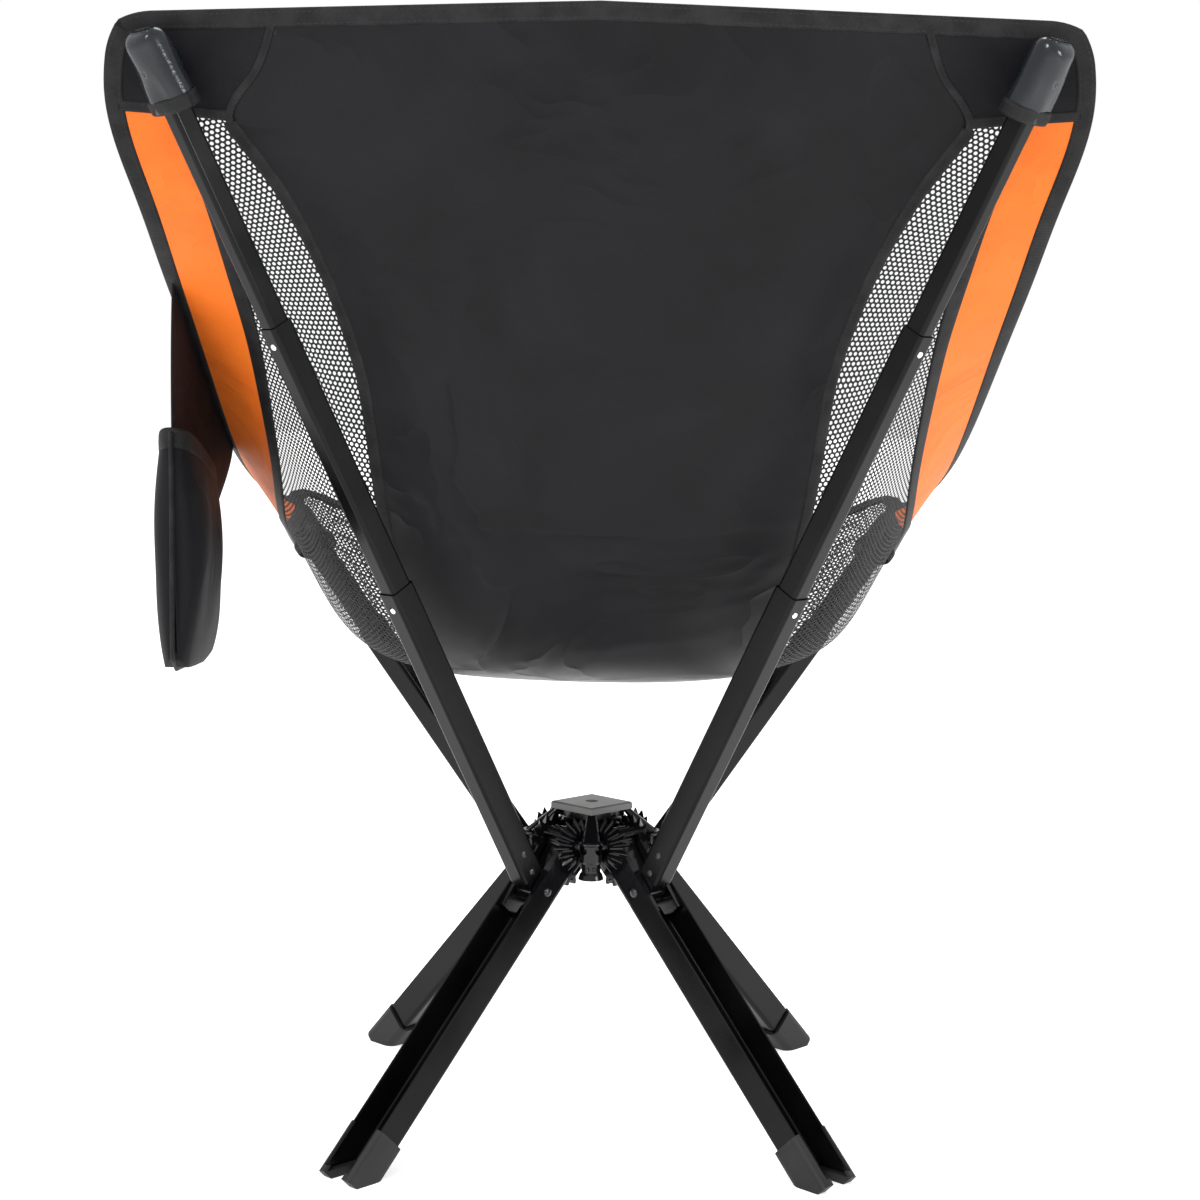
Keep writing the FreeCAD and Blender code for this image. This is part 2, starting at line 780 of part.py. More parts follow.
def tube(label, width, depth, start, end, holes, frame):
    """A rounded box section; holes are (distance, radius, through the outer face only)."""
    body = new_body(label)
    outline = new_sketch(body, "XY_Plane")
    add_polygon(
        outline,
        (
            (start, f"-({width}) / 2"),
            (end, f"-({width}) / 2"),
            (end, f"({width}) / 2"),
            (start, f"({width}) / 2"),
        ),
    )
    pad = grow(body, "Pad", outline, depth)
    round_edges(body, pad, edges_along(pad.Shape, ALONG), "tube_corner")
    hollow = new_sketch(body, "XY_Plane")
    inside = f"({width}) / 2 - tube_wall"
    add_polygon(
        hollow,
        (
            (f"{start} - 5", f"-({inside})"),
            (f"{end} + 5", f"-({inside})"),
            (f"{end} + 5", inside),
            (f"{start} - 5", inside),
        ),
    )
    bore = grow(body, "Pocket", hollow, f"{depth} - 2 * tube_wall")
    limit = value(depth) / 2 - size("tube_wall")
    inner = edges_along(
        bore.Shape,
        ALONG,
        lambda edge: abs(abs(edge.CenterOfMass.z) - limit) < 0.02
        and abs(abs(edge.CenterOfMass.y) - value(inside)) < 0.02,
    )
    if inner:
        round_edges(body, bore, inner, "tube_corner - tube_wall")
    for plane, distance, radius in holes:
        sketch = new_sketch(body, plane)
        add_circle(sketch, distance, "0", radius)
        outer_face = plane == "XY_Plane"
        grow(body, "Pocket", sketch, "lower_depth * 2", not outer_face)
    finish(label, body, frame)


def stepped(step):
    """Width and depth of the tube that slides inside, after a number of steps."""
    less = f"{step} * 2 * (tube_wall + tube_play)"
    return f"lower_width - {less}", f"lower_depth - {less}"


def arm_knuckle(corner):
    """The moulded arm end: gear teeth, pivot eye and the plug riveted into the tube."""
    end = corner.split("_")[0]
    gear = shaped("ArmGear", arm_gear(end))
    neck = block("Neck", "4", "tube_start - 4", "gear_width", "-8.5", "17")
    width = "lower_width - 2 * tube_wall - 0.2"
    depth = "lower_depth - 2 * tube_wall - 0.2"
    plug = block("Plug", "tube_start - 1", "plug_reach - tube_start + 1", width,
                 f"-({depth}) / 2", depth)
    trimmed = plug.Shape.makeFillet(size("tube_corner") - size("tube_wall"),
                                    [edge for edge in plug.Shape.Edges
                                     if edge.BoundBox.XLength > 10])
    doc.removeObject(plug.Name)
    start = size("tube_start")
    keep = Part.makeBox(60, 40, 40, FreeCAD.Vector(start, -20, -20))
    plug_body = shaped("PlugBody", trimmed.common(keep))
    blank = fused("ArmBlank", [gear, neck, plug_body])
    bores = [cylinder("PivotRun", "pivot_radius + running_play", "leg_width * 2",
                      FreeCAD.Vector(), ACROSS)]
    for distance in ("rivet_first", "rivet_second"):
        bores.append(cylinder("RivetBore", "rivet_radius", "leg_width * 2",
                              ALONG * size(distance), ACROSS))
    knuckle = cut("ArmKnuckle", blank, fused("ArmBores", bores))
    finish(f"{corner}_arm_knuckle", knuckle, arm_frame(corner))


def arm_rivets(corner):
    """Two rivets through tube and knuckle."""
    pins = []
    for distance in ("rivet_first", "rivet_second"):
        pin = riveted_pin("Rivet", size("rivet_radius"), size("lower_width"), 2.9, 1.0)
        pin.translate(ALONG * size(distance))
        pins.append(pin)
    shape = Part.makeCompound(pins)
    finish(f"{corner}_arm_rivets", shaped("ArmRivets", shape), arm_frame(corner))


def snap_button(label, corner, step, distance):
    """A domed button with a flange that stays inside the sliding tube."""
    _, depth = stepped(step)
    _, outside = stepped(step - 1)
    inner_face = value(depth) / 2 - size("tube_wall")
    top = value(outside) / 2 + size("button_rise")
    radius = size("button_radius")
    down = FreeCAD.Vector(0, 0, -1)
    flange = Part.makeCylinder(radius + 1.3, 1.0, down * (inner_face - 1.05), down)
    shank = Part.makeCylinder(radius, top - inner_face - 0.7, down * (inner_face - 0.2), down)
    rounded = shank.makeFillet(1.2, [edge for edge in shank.Edges
                                     if edge.BoundBox.ZMax < -(top - 1.2)])
    button = flange.fuse(rounded)
    button.translate(ALONG * value(distance))
    finish(label, shaped("Button", button), arm_frame(corner))


def tip_parts(corner, step, tip):
    """End plug, fabric pocket and its screw at the top of an arm."""
    width, depth = (value(text) for text in stepped(step))
    tip_at = size(tip)
    tube_end = tip_at - size("pocket_top") - 3.0
    wall = size("tube_wall") + 0.1
    play = 0.25
    screw_at = tip_at - size("pocket_screw_inset")
    frame = arm_frame(corner)

    def bar(start, end, wide, deep, corner_radius):
        box = Part.makeBox(end - start, wide, deep, FreeCAD.Vector(start, -wide / 2, -deep / 2))
        edges = [edge for edge in box.Edges if abs(edge.tangentAt(0).x) > 0.9]
        return box.makeFillet(corner_radius, edges)

    inside = bar(tube_end - 34, tube_end, width - 2 * wall, depth - 2 * wall, 1.8)
    head = bar(tube_end, tube_end + 2.2, width, depth, 2.6)
    shank = Part.makeCylinder(1.6, 40, FreeCAD.Vector(screw_at, 0, 0), FreeCAD.Vector(0, 0, -1))
    plug = inside.fuse(head).cut(shank)
    finish(f"{corner}_tip_plug", shaped("TipPlug", plug), frame)

    start = tip_at - size("pocket_length")
    cloth = size("pocket_wall")
    outer = bar(start, tip_at, width + 2 * (play + cloth), depth + 2 * (play + cloth), 4.6)
    hollow = bar(start - 5, tip_at - size("pocket_top"), width + 2 * play, depth + 2 * play, 2.9)
    rim = [edge for edge in outer.Edges if edge.BoundBox.XMin > tip_at - 0.01]
    pocket = outer.makeFillet(1.8, rim).cut(hollow).cut(shank)
    finish(f"{corner}_pole_pocket", shaped("PolePocket", pocket), frame)

    face = depth / 2 + play + cloth
    stem = Part.makeCylinder(1.6, face, FreeCAD.Vector(screw_at, 0, 0), FreeCAD.Vector(0, 0, -1))
    cap = Part.makeCylinder(4.0, 1.8, FreeCAD.Vector(screw_at, 0, -face), FreeCAD.Vector(0, 0, -1))
    cap = cap.makeFillet(0.8, [edge for edge in cap.Edges if edge.BoundBox.ZMax < -face - 1.7])
    cross = Part.makeBox(4.4, 1.0, 1.0, FreeCAD.Vector(screw_at - 2.2, -0.5, -face - 1.8))
    other = Part.makeBox(1.0, 4.4, 1.0, FreeCAD.Vector(screw_at - 0.5, -2.2, -face - 1.8))
    screw = stem.fuse(cap).cut(cross.fuse(other))
    finish(f"{corner}_tip_screw", shaped("TipScrew", screw), frame)


def arm(corner):
    """One arm: two sliding joints at the back of the chair, one at the front."""
    frame = arm_frame(corner)
    rivets = [
        ("XZ_Plane", "rivet_first", "rivet_radius"),
        ("XZ_Plane", "rivet_second", "rivet_radius"),
    ]
    window = "button_radius + 0.35"
    first = "lower_end - button_inset"
    arm_knuckle(corner)
    arm_rivets(corner)
    width, depth = stepped(0)
    tube(f"{corner}_lower_tube", width, depth, "tube_start", "lower_end",
         rivets + [("XY_Plane", first, window)], frame)
    if corner.startswith("rear"):
        second = "middle_end - button_inset"
        width, depth = stepped(1)
        tube(f"{corner}_middle_tube", width, depth, "lower_end - tube_overlap", "middle_end",
             [("XY_Plane", first, window), ("XY_Plane", second, window)], frame)
        snap_button(f"{corner}_button_low", corner, 1, first)
        snap_button(f"{corner}_button_high", corner, 2, second)
        step, tip, start, last = 2, "rear_tip", "middle_end - tube_overlap", second
    else:
        snap_button(f"{corner}_button", corner, 1, first)
        step, tip, start, last = 1, "front_tip", "lower_end - tube_overlap", first
    width, depth = stepped(step)
    tube(f"{corner}_upper_tube", width, depth, start, f"{tip} - pocket_top - 3",
         [("XY_Plane", last, window), ("XY_Plane", f"{tip} - pocket_screw_inset", "1.8")], frame)
    tip_parts(corner, step, tip)


# Fabric


def belly(middle, hem, sag, fill, spot):
    """A point across one strip of the seat; spot runs from -1 to 1."""
    across = abs(spot)
    near = 1 / 3 + sag * (0.90 - 1 / 3)
    far = 2 / 3 + sag * (0.50 - 2 / 3)
    rise_near = (1 - sag) / 3
    rise_far = 2 / 3 + sag * (0.40 - 2 / 3)
    near, far = near + fill * (0.95 - near), far + fill * (0.85 - far)
    rise_near, rise_far = rise_near * (1 - fill), rise_far + fill * (0.25 - rise_far)
    first = 3 * (1 - across) ** 2 * across
    second = 3 * (1 - across) * across**2
    wide = first * near + second * far + across**3
    rise = first * rise_near + second * rise_far + across**3
    return FreeCAD.Vector(
        math.copysign(hem[0] * wide, spot),
        middle[0] + (hem[1] - middle[0]) * rise,
        middle[1] + (hem[2] - middle[1]) * rise,
    )


def seat_sling():
    """The hung seat as one shell, corner to corner."""
    grid = []
    for y, z, hem_x, hem_y, hem_z, sag, fill in SLING_ROWS:
        spots = [index / 8 - 1 for index in range(17)]
        hem = (hem_x, hem_y, hem_z)
        grid.append([belly((y, z), hem, sag, fill, spot) for spot in spots])
    surface = Part.BSplineSurface()
    surface.interpolate(grid)
    face = surface.toShape()
    solid = face.makeOffsetShape(size("sling_thickness"), 0.01, fill=True)
    if solid.Volume < 0:
        solid.reverse()
    finish("seat_sling", shaped("SeatSling", solid))


def side_pouch():
    """A flap hung from the left hem with a bellied pocket below its band."""
    outward = FreeCAD.Vector(-1, 0, 0)

    def panel(outline, thickness):
        points = [FreeCAD.Vector(0, y, z) for y, z in outline]
        return Part.Face(Part.makePolygon(points + points[:1])).extrude(outward * thickness)

    flap = panel(POUCH_FLAP + POUCH_FOOT, size("pouch_flap"))
    bag = panel(POUCH_BAND + POUCH_FOOT, size("pouch_bulge"))
    foot_edges = [
        edge
        for edge in bag.Edges
        if edge.CenterOfMass.x < 1 - size("pouch_bulge") and edge.CenterOfMass.z < 530
    ]
    bag = bag.makeChamfer(4.0, foot_edges)
    place = FreeCAD.Placement(outward * size("pouch_reach"), turned(size("pouch_turn")))
    finish("side_pouch", shaped("SidePouch", flap.fuse(bag).removeSplitter()), place)


def export():
    """Checks every finished sub-part and writes it out."""
    doc.recompute()
    os.makedirs("parts", exist_ok=True)
    for label, item in nodes:
        bad = {"Invalid", "Error"} & set(item.State)
        if bad or item.Shape.isNull() or not item.Shape.isValid():
            raise RuntimeError(f"{label} is not a sound solid: {item.State}")
        item.Shape.exportStep(f"parts/{label}.step")
        box = item.Shape.optimalBoundingBox(False)
        print(f"{label:28} {item.Shape.Volume / 1000:9.2f} cm3  solids {len(item.Shape.Solids)}"
              f"  x {box.XMin:.1f}..{box.XMax:.1f} y {box.YMin:.1f}..{box.YMax:.1f}"
              f" z {box.ZMin:.1f}..{box.ZMax:.1f}")
    print(len(nodes), "nodes")


fill_sheet()
hub_core()
hub_cap()
hub_screw()
hub_axles()
fixed_gears()
for corner in CORNERS:
    leg_channel(corner)
    leg_knuckle(corner)
    foot(corner)
    leg_pivot(corner)
    arm(corner)
seat_sling()
side_pouch()
export()
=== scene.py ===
"""Visual model of a folding camp chair: geared hub, channel legs, telescopic arms, hung seat."""

import json
import logging
import math
from dataclasses import dataclass
from enum import Enum

import bpy
import numpy as np
from mathutils import Matrix, Vector


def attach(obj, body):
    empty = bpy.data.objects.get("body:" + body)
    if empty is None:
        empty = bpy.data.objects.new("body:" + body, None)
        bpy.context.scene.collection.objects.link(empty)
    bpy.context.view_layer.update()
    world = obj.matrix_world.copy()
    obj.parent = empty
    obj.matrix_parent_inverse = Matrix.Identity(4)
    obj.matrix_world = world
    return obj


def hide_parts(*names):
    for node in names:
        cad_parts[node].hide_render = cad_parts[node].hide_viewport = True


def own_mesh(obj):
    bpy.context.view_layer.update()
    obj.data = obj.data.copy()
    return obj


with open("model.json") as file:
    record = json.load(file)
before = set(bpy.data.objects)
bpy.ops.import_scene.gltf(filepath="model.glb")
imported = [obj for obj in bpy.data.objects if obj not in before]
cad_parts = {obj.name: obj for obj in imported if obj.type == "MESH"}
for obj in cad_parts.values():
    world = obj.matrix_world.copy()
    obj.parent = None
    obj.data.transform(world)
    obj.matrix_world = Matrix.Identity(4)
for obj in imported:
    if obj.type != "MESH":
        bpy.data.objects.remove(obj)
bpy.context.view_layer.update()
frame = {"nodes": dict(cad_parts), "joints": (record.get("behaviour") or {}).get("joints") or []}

log = logging.getLogger("camp_chair")

CORNERS = ("front_left", "front_right", "rear_left", "rear_right")
SIDES = {"left": -1.0, "right": 1.0}
SEAT_BODY = "hub"


class Held(Enum):
    """How a sheet of cloth is held, in the frame's words."""

    HUNG = "hung"


# Meshes from arrays


def natural_spline(knots: np.ndarray, values: np.ndarray, at: np.ndarray) -> np.ndarray:
    """Cubic through every value, with no bend at its two ends.

    The second derivatives come from the usual three-band system, and each span is
    m0*(h-x)^3/6h + m1*x^3/6h + (v0/h - m0*h/6)*(h-x) + (v1/h - m1*h/6)*x.

    Args:
        knots: Rising parameters, one for each value.
        values: One row of numbers for each knot.
        at: Parameters to evaluate, of any shape.

    Returns:
        One row of numbers for each entry of at.
    """
    step = np.diff(knots)
    count = len(knots)
    bands = np.zeros((count, count))
    bands[0, 0] = bands[-1, -1] = 1.0
    inner = np.arange(1, count - 1)
    bands[inner, inner - 1] = step[:-1]
    bands[inner, inner] = 2.0 * (step[:-1] + step[1:])
    bands[inner, inner + 1] = step[1:]
    known = np.zeros_like(values)
    known[1:-1] = 6.0 * np.diff(np.diff(values, axis=0) / step[:, None], axis=0)
    bend = np.linalg.solve(bands, known)
    span = np.clip(np.searchsorted(knots, at, side="right") - 1, 0, count - 2)
    width = step[span][..., None]
    into = (at - knots[span])[..., None]
    left = width - into
    curved = (bend[span] * left**3 + bend[span + 1] * into**3) / (6.0 * width)
    start = (values[span] / width - bend[span] * width / 6.0) * left
    finish = (values[span + 1] / width - bend[span + 1] * width / 6.0) * into
    return curved + start + finish


def unit(vectors: np.ndarray) -> np.ndarray:
    """The same directions with length 1."""
    return vectors / np.maximum(np.linalg.norm(vectors, axis=-1, keepdims=True), 1e-12)


def lengths_along(points: np.ndarray, axis: int) -> np.ndarray:
    """Running length of a grid of points along one of its two axes, starting at 0."""
    steps = np.linalg.norm(np.diff(points, axis=axis), axis=-1)
    start = np.zeros_like(np.take(steps, [0], axis=axis))
    return np.concatenate([start, np.cumsum(steps, axis=axis)], axis=axis)


def sheet_uv(points: np.ndarray) -> np.ndarray:
    """Cloth coordinates of a grid in metres: middle-out across it, top-down along it."""
    across = lengths_along(points, 0)
    along = lengths_along(points, 1)
    across = across - across[-1:, :] / 2.0
    return np.stack([across, np.broadcast_to(along.mean(axis=0), across.shape)], axis=-1)


def straight_uv(points: np.ndarray) -> np.ndarray:
    """Cloth coordinates of a slanting strip: length along its middle line, distance off it.

    Args:
        points: Grid of places, from seam to seam along its first axis.

    Returns:
        Grid of (off, along), without the slant of the grid's own lines.
    """
    middle = points[len(points) // 2]
    ahead = unit(np.gradient(middle, axis=0))
    off = points[-1] - points[0]
    off = unit(off - ahead * (off * ahead).sum(axis=-1, keepdims=True))
    along = np.concatenate([[0.0], np.cumsum(np.linalg.norm(np.diff(middle, axis=0), axis=1))])
    apart = points - middle
    return np.stack([(apart * off).sum(axis=-1), along + (apart * ahead).sum(axis=-1)], axis=-1)


def grid_faces(rows: int, columns: int, wrap_rows: bool, wrap_columns: bool) -> np.ndarray:
    """Quads over a grid of points, joined round where it wraps.

    Args:
        rows: Points along the first axis.
        columns: Points along the second axis.
        wrap_rows: Whether the last row joins the first.
        wrap_columns: Whether the last column joins the first.

    Returns:
        Vertex numbers, four for each face.
    """
    first = np.arange(rows if wrap_rows else rows - 1)[:, None]
    second = np.arange(columns if wrap_columns else columns - 1)[None, :]
    next_first = (first + 1) % rows
    next_second = (second + 1) % columns
    corners = (
        first * columns + second,
        next_first * columns + second,
        next_first * columns + next_second,
        first * columns + next_second,
    )
    return np.stack(np.broadcast_arrays(*corners), axis=-1).reshape(-1, 4)


def surface_object(
    name: str,
    points: np.ndarray,
    uv: np.ndarray | None = None,
    wrap_rows: bool = False,
    wrap_columns: bool = False,
    caps: bool = False,
    flip: bool = False,
) -> bpy.types.Object:
    """Makes an object from a grid of points.

    Args:
        name: The piece's name.
        points: Grid of places, in metres.
        uv: Grid of texture coordinates, or None for the grid's own lengths.
        wrap_rows: Whether the grid closes along its first axis.
        wrap_columns: Whether the grid closes along its second axis.
        caps: Whether a tube whose columns wrap gets a face over each end.
        flip: Whether its faces are turned over.

    Returns:
        The object, at the origin.
    """
    rows, columns = points.shape[:2]
    faces = grid_faces(rows, columns, wrap_rows, wrap_columns)
    polygons = faces[:, ::-1].tolist() if flip else faces.tolist()
    if caps:
        first = list(range(columns))
        last = [(rows - 1) * columns + index for index in range(columns)]
        polygons += [first, last[::-1]] if flip else [first[::-1], last]
    mesh = bpy.data.meshes.new(name)
    mesh.from_pydata(points.reshape(-1, 3).tolist(), [], polygons)
    coordinates = sheet_uv(points) if uv is None else uv
    corner_vertex = np.zeros(len(mesh.loops), np.int32)
    mesh.loops.foreach_get("vertex_index", corner_vertex)
    layer = mesh.uv_layers.new(name="Cloth")
    layer.data.foreach_set("uv", coordinates.reshape(-1, 2)[corner_vertex].ravel())
    mesh.shade_smooth()
    mesh.validate()
    piece = bpy.data.objects.new(name, mesh)
    bpy.context.scene.collection.objects.link(piece)
    return piece


def carried_profile(
    path: np.ndarray, side: np.ndarray, up: np.ndarray, profile: np.ndarray
) -> tuple[np.ndarray, np.ndarray]:
    """Carries a closed profile along a path: place + side * profile_x + up * profile_y.

    Args:
        path: Places along the path.
        side: Direction of the profile's x at each place.
        up: Direction of the profile's y at each place.
        profile: Closed outline, x and y in metres.

    Returns:
        Grid of points, and its (length along, place across) coordinates.
    """
    points = (
        path[:, None, :]
        + side[:, None, :] * profile[None, :, :1]
        + up[:, None, :] * profile[None, :, 1:]
    )
    along = np.concatenate([[0.0], np.cumsum(np.linalg.norm(np.diff(path, axis=0), axis=1))])
    low, high = profile[:, 0].min(), profile[:, 0].max()
    across = (profile[:, 0] - low) / (high - low)
    uv = np.stack(np.broadcast_arrays(along[:, None], across[None, :]), axis=-1)
    return points, uv


def squared(wave: np.ndarray, power: float) -> np.ndarray:
    """A wave raised to a power with its sign kept: below 1 it squares off an oval."""
    return np.sign(wave) * np.abs(wave) ** power


def flat_oval(width: float, thickness: float, power: float, count: int) -> np.ndarray:
    """Closed superellipse: x and y are the cosine and sine raised to 2/power."""
    turn = np.arange(count) / count * math.tau
    wave = np.stack([np.cos(turn), np.sin(turn)], axis=-1)
    return squared(wave, 2.0 / power) * np.array([width, thickness]) / 2.0


# Shader helpers


class Net:
    """Short words for building one node tree."""

    def __init__(self, tree: bpy.types.NodeTree) -> None:
        """Keeps the tree that nodes are added to."""
        self.tree = tree

    def node(self, kind: str, **settings: object) -> bpy.types.Node:
        """Adds a node and sets its properties."""
        made = self.tree.nodes.new(kind)
        for name, value in settings.items():
            setattr(made, name, value)
        return made

    def feed(self, socket: bpy.types.NodeSocket, value: object) -> None:
        """Links a socket to the input, or sets a plain value on it."""
        if isinstance(value, bpy.types.NodeSocket):
            self.tree.links.new(value, socket)
        else:
            socket.default_value = value

    def math(self, operation: str, first: object, second: object = 0.0) -> bpy.types.NodeSocket:
        """One arithmetic step."""
        made = self.node("ShaderNodeMath", operation=operation)
        self.feed(made.inputs[0], first)
        self.feed(made.inputs[1], second)
        return made.outputs[0]

    def spread(
        self, value: object, low: object, high: object, start: float = 0.0, end: float = 1.0
    ) -> bpy.types.NodeSocket:
        """Maps low to start and high to end, held at both."""
        made = self.node("ShaderNodeMapRange", clamp=True)
        for name, given in (
            ("Value", value),
            ("From Min", low),
            ("From Max", high),
            ("To Min", start),
            ("To Max", end),
        ):
            self.feed(made.inputs[name], given)
        return made.outputs[0]

    def noise(
        self, vector: object, scale: object, detail: float = 2.0, warp: float = 0.0
    ) -> bpy.types.NodeSocket:
        """Smooth noise from 0 to 1."""
        made = self.node("ShaderNodeTexNoise")
        self.feed(made.inputs["Vector"], vector)
        self.feed(made.inputs["Scale"], scale)
        made.inputs["Detail"].default_value = detail
        made.inputs["Distortion"].default_value = warp
        return made.outputs["Fac"]

    def blend(self, share: object, first: object, second: object) -> bpy.types.NodeSocket:
        """Mixes two colours."""
        made = self.node("ShaderNodeMix", data_type="RGBA")
        self.feed(made.inputs[0], share)
        self.feed(made.inputs[6], first)
        self.feed(made.inputs[7], second)
        return made.outputs[2]

    def parts(self, vector: object) -> tuple[bpy.types.NodeSocket, bpy.types.NodeSocket]:
        """The first two numbers of a vector."""
        made = self.node("ShaderNodeSeparateXYZ")
        self.feed(made.inputs[0], vector)
        return made.outputs[0], made.outputs[1]

    def scaled(self, vector: object, stretch: tuple[float, float, float]) -> bpy.types.NodeSocket:
        """A vector stretched along its axes."""
        made = self.node("ShaderNodeMapping")
        self.feed(made.inputs["Vector"], vector)
        made.inputs["Scale"].default_value = stretch
        return made.outputs[0]


SOCKETS = {"v": "NodeSocketVector", "f": "NodeSocketFloat", "c": "NodeSocketColor"}


def new_group(
    name: str, takes: dict[str, str], gives: dict[str, str]
) -> tuple[Net, dict[str, bpy.types.NodeSocket], bpy.types.Node]:
    """Starts a shader node group.

    Args:
        name: The group's name.
        takes: Name and kind letter of each input.
        gives: Name and kind letter of each output.

    Returns:
        The net to build in, the input sockets by name, and the output node.
    """
    tree = bpy.data.node_groups.new(name, "ShaderNodeTree")
    for label, kind in takes.items():
        tree.interface.new_socket(label, in_out="INPUT", socket_type=SOCKETS[kind])
    for label, kind in gives.items():
        tree.interface.new_socket(label, in_out="OUTPUT", socket_type=SOCKETS[kind])
    net = Net(tree)
    source = net.node("NodeGroupInput")
    return net, {s.name: s for s in source.outputs if s.name}, net.node("NodeGroupOutput")


def weave_group() -> bpy.types.NodeTree:
    """Plain weave: sin(2 pi u) * sin(2 pi v) lifts each crossing, over slow tone changes, with painted
    shade that darkens the colour in the low parts between crossings.
    """
    # The second colour is the paler one: it stands for random tone, and for painted light on the
    # raised crossings.
    takes = {"Vector": "v", "Threads": "f", "Colour": "c", "Paler_And_Lit": "c"}
    net, given, out = new_group("plain_weave", takes, {"Colour": "c", "Height": "f"})
    across, along = net.parts(given["Vector"])
    waves = []
    for place in (across, along):
        turn = net.math("MULTIPLY", net.math("MULTIPLY", place, given["Threads"]), math.tau)
        waves.append(net.math("SINE", turn))
    lift = net.math("MULTIPLY", waves[0], waves[1])
    height = net.spread(lift, -1.0, 1.0)
    slow = net.noise(given["Vector"], 9.0, 3.0, 0.6)
    slub = net.noise(net.scaled(given["Vector"], (40.0, 700.0, 1.0)), 1.0, 1.0)
    tone = net.math("ADD", net.spread(slow, 0.35, 0.72), net.math("MULTIPLY", slub, 0.35))
    # Painted shade: the colour is darkened where the weave is low, between crossings, and is paler on
    # the raised crossings.
    shade = net.math("MULTIPLY", tone, net.spread(height, 0.0, 1.0, 0.45, 1.0))
    net.feed(out.inputs["Colour"], net.blend(shade, given["Colour"], given["Paler_And_Lit"]))
    net.feed(out.inputs["Height"], height)
    return net.tree


def crease_group() -> bpy.types.NodeTree:
    """Soft creases: the ridge 1 - |2n - 1| of warped noise, with broader waves under it."""
    net, given, out = new_group("soft_creases", {"Vector": "v", "Scale": "f"}, {"Height": "f"})
    ridge = net.noise(given["Vector"], given["Scale"], 2.0, 1.4)
    fold = net.math("ABSOLUTE", net.math("SUBTRACT", net.math("MULTIPLY", ridge, 2.0), 1.0))
    sharp = net.math("POWER", net.math("SUBTRACT", 1.0, fold), 6.0)
    broad = net.noise(given["Vector"], net.math("MULTIPLY", given["Scale"], 0.4), 1.0, 0.5)
    net.feed(out.inputs["Height"], net.math("ADD", net.math("MULTIPLY", sharp, 0.35), broad))
    return net.tree


def netting_group() -> bpy.types.NodeTree:
    """Knitted netting: round holes on a staggered lattice, rows sqrt(3) / 2 pitches apart."""
    takes = {"Vector": "v", "Pitch": "f", "Hole": "f"}
    net, given, out = new_group("knitted_netting", takes, {"Cover": "f", "Height": "f"})
    across, along = net.parts(given["Vector"])
    flat = net.math("DIVIDE", across, given["Pitch"])
    tall = net.math("DIVIDE", net.math("DIVIDE", along, given["Pitch"]), math.sqrt(3.0))
    distances = []
    for shift in (0.0, 0.5):
        x = net.math("SUBTRACT", net.math("FRACT", net.math("ADD", flat, shift)), 0.5)
        y = net.math("SUBTRACT", net.math("FRACT", net.math("ADD", tall, shift)), 0.5)
        y = net.math("MULTIPLY", y, math.sqrt(3.0))
        squares = net.math("ADD", net.math("MULTIPLY", x, x), net.math("MULTIPLY", y, y))
        distances.append(net.math("SQRT", squares))
    nearest = net.math("MINIMUM", distances[0], distances[1])
    rim = net.math("ADD", given["Hole"], 0.05)
    net.feed(out.inputs["Cover"], net.spread(nearest, given["Hole"], rim))
    net.feed(out.inputs["Height"], net.spread(nearest, given["Hole"], 0.5))
    return net.tree


def stitch_group() -> bpy.types.NodeTree:
    """Rows of stitches: dashes along u at one place across v, and its mirror."""
    takes = {"Vector": "v", "Length": "f", "Place": "f", "Width": "f"}
    net, given, out = new_group("stitches", takes, {"Mask": "f"})
    along, across = net.parts(given["Vector"])
    dash = net.math("FRACT", net.math("DIVIDE", along, given["Length"]))
    on = net.math("LESS_THAN", net.math("ABSOLUTE", net.math("SUBTRACT", dash, 0.5)), 0.36)
    fold = net.math("ABSOLUTE", net.math("SUBTRACT", across, 0.5))
    away = net.math("ABSOLUTE", net.math("SUBTRACT", fold, given["Place"]))
    net.feed(out.inputs["Mask"], net.math("MULTIPLY", on, net.math("LESS_THAN", away, given["Width"])))
    return net.tree


def handled_group() -> bpy.types.NodeTree:
    """Handled surface: dust in slow patches, fine rub marks, and grain as height."""
    takes = {"Vector": "v", "Colour": "c", "Worn": "c", "Grain": "f", "Smooth": "f", "Rough": "f"}
    gives = {"Colour": "c", "Roughness": "f", "Height": "f"}
    net, given, out = new_group("handled_surface", takes, gives)
    patch = net.spread(net.noise(given["Vector"], 16.0, 4.0, 0.3), 0.42, 0.75)
    rubs = net.noise(net.scaled(given["Vector"], (500.0, 500.0, 60.0)), 1.0, 2.0)
    mark = net.math("MULTIPLY", net.spread(rubs, 0.62, 0.8), 0.5)
    amount = net.math("ADD", net.math("MULTIPLY", patch, 0.55), net.math("MULTIPLY", mark, 0.45))
    net.feed(out.inputs["Colour"], net.blend(amount, given["Colour"], given["Worn"]))
    net.feed(out.inputs["Roughness"], net.spread(amount, 0.0, 0.8, given["Smooth"], given["Rough"]))
    net.feed(out.inputs["Height"], net.noise(given["Vector"], given["Grain"], 2.0))
    return net.tree


class Groups:
    """The shared effects, each built once."""

    def __init__(self) -> None:
        """Builds every group."""
        self.weave = weave_group()
        self.creases = crease_group()
        self.netting = netting_group()
        self.stitches = stitch_group()
        self.handled = handled_group()


Colour = tuple[float, float, float]


def place_group(
    net: Net, tree: bpy.types.NodeTree, feeds: dict[str, object]
) -> dict[str, bpy.types.NodeSocket]:
    """Puts a group into a material with its own values, and returns its outputs by name."""
    made = net.node("ShaderNodeGroup", node_tree=tree)
    for label, value in feeds.items():
        if isinstance(value, tuple):
            value = (*value, 1.0)
        net.feed(made.inputs[label], value)
    return {s.name: s for s in made.outputs}


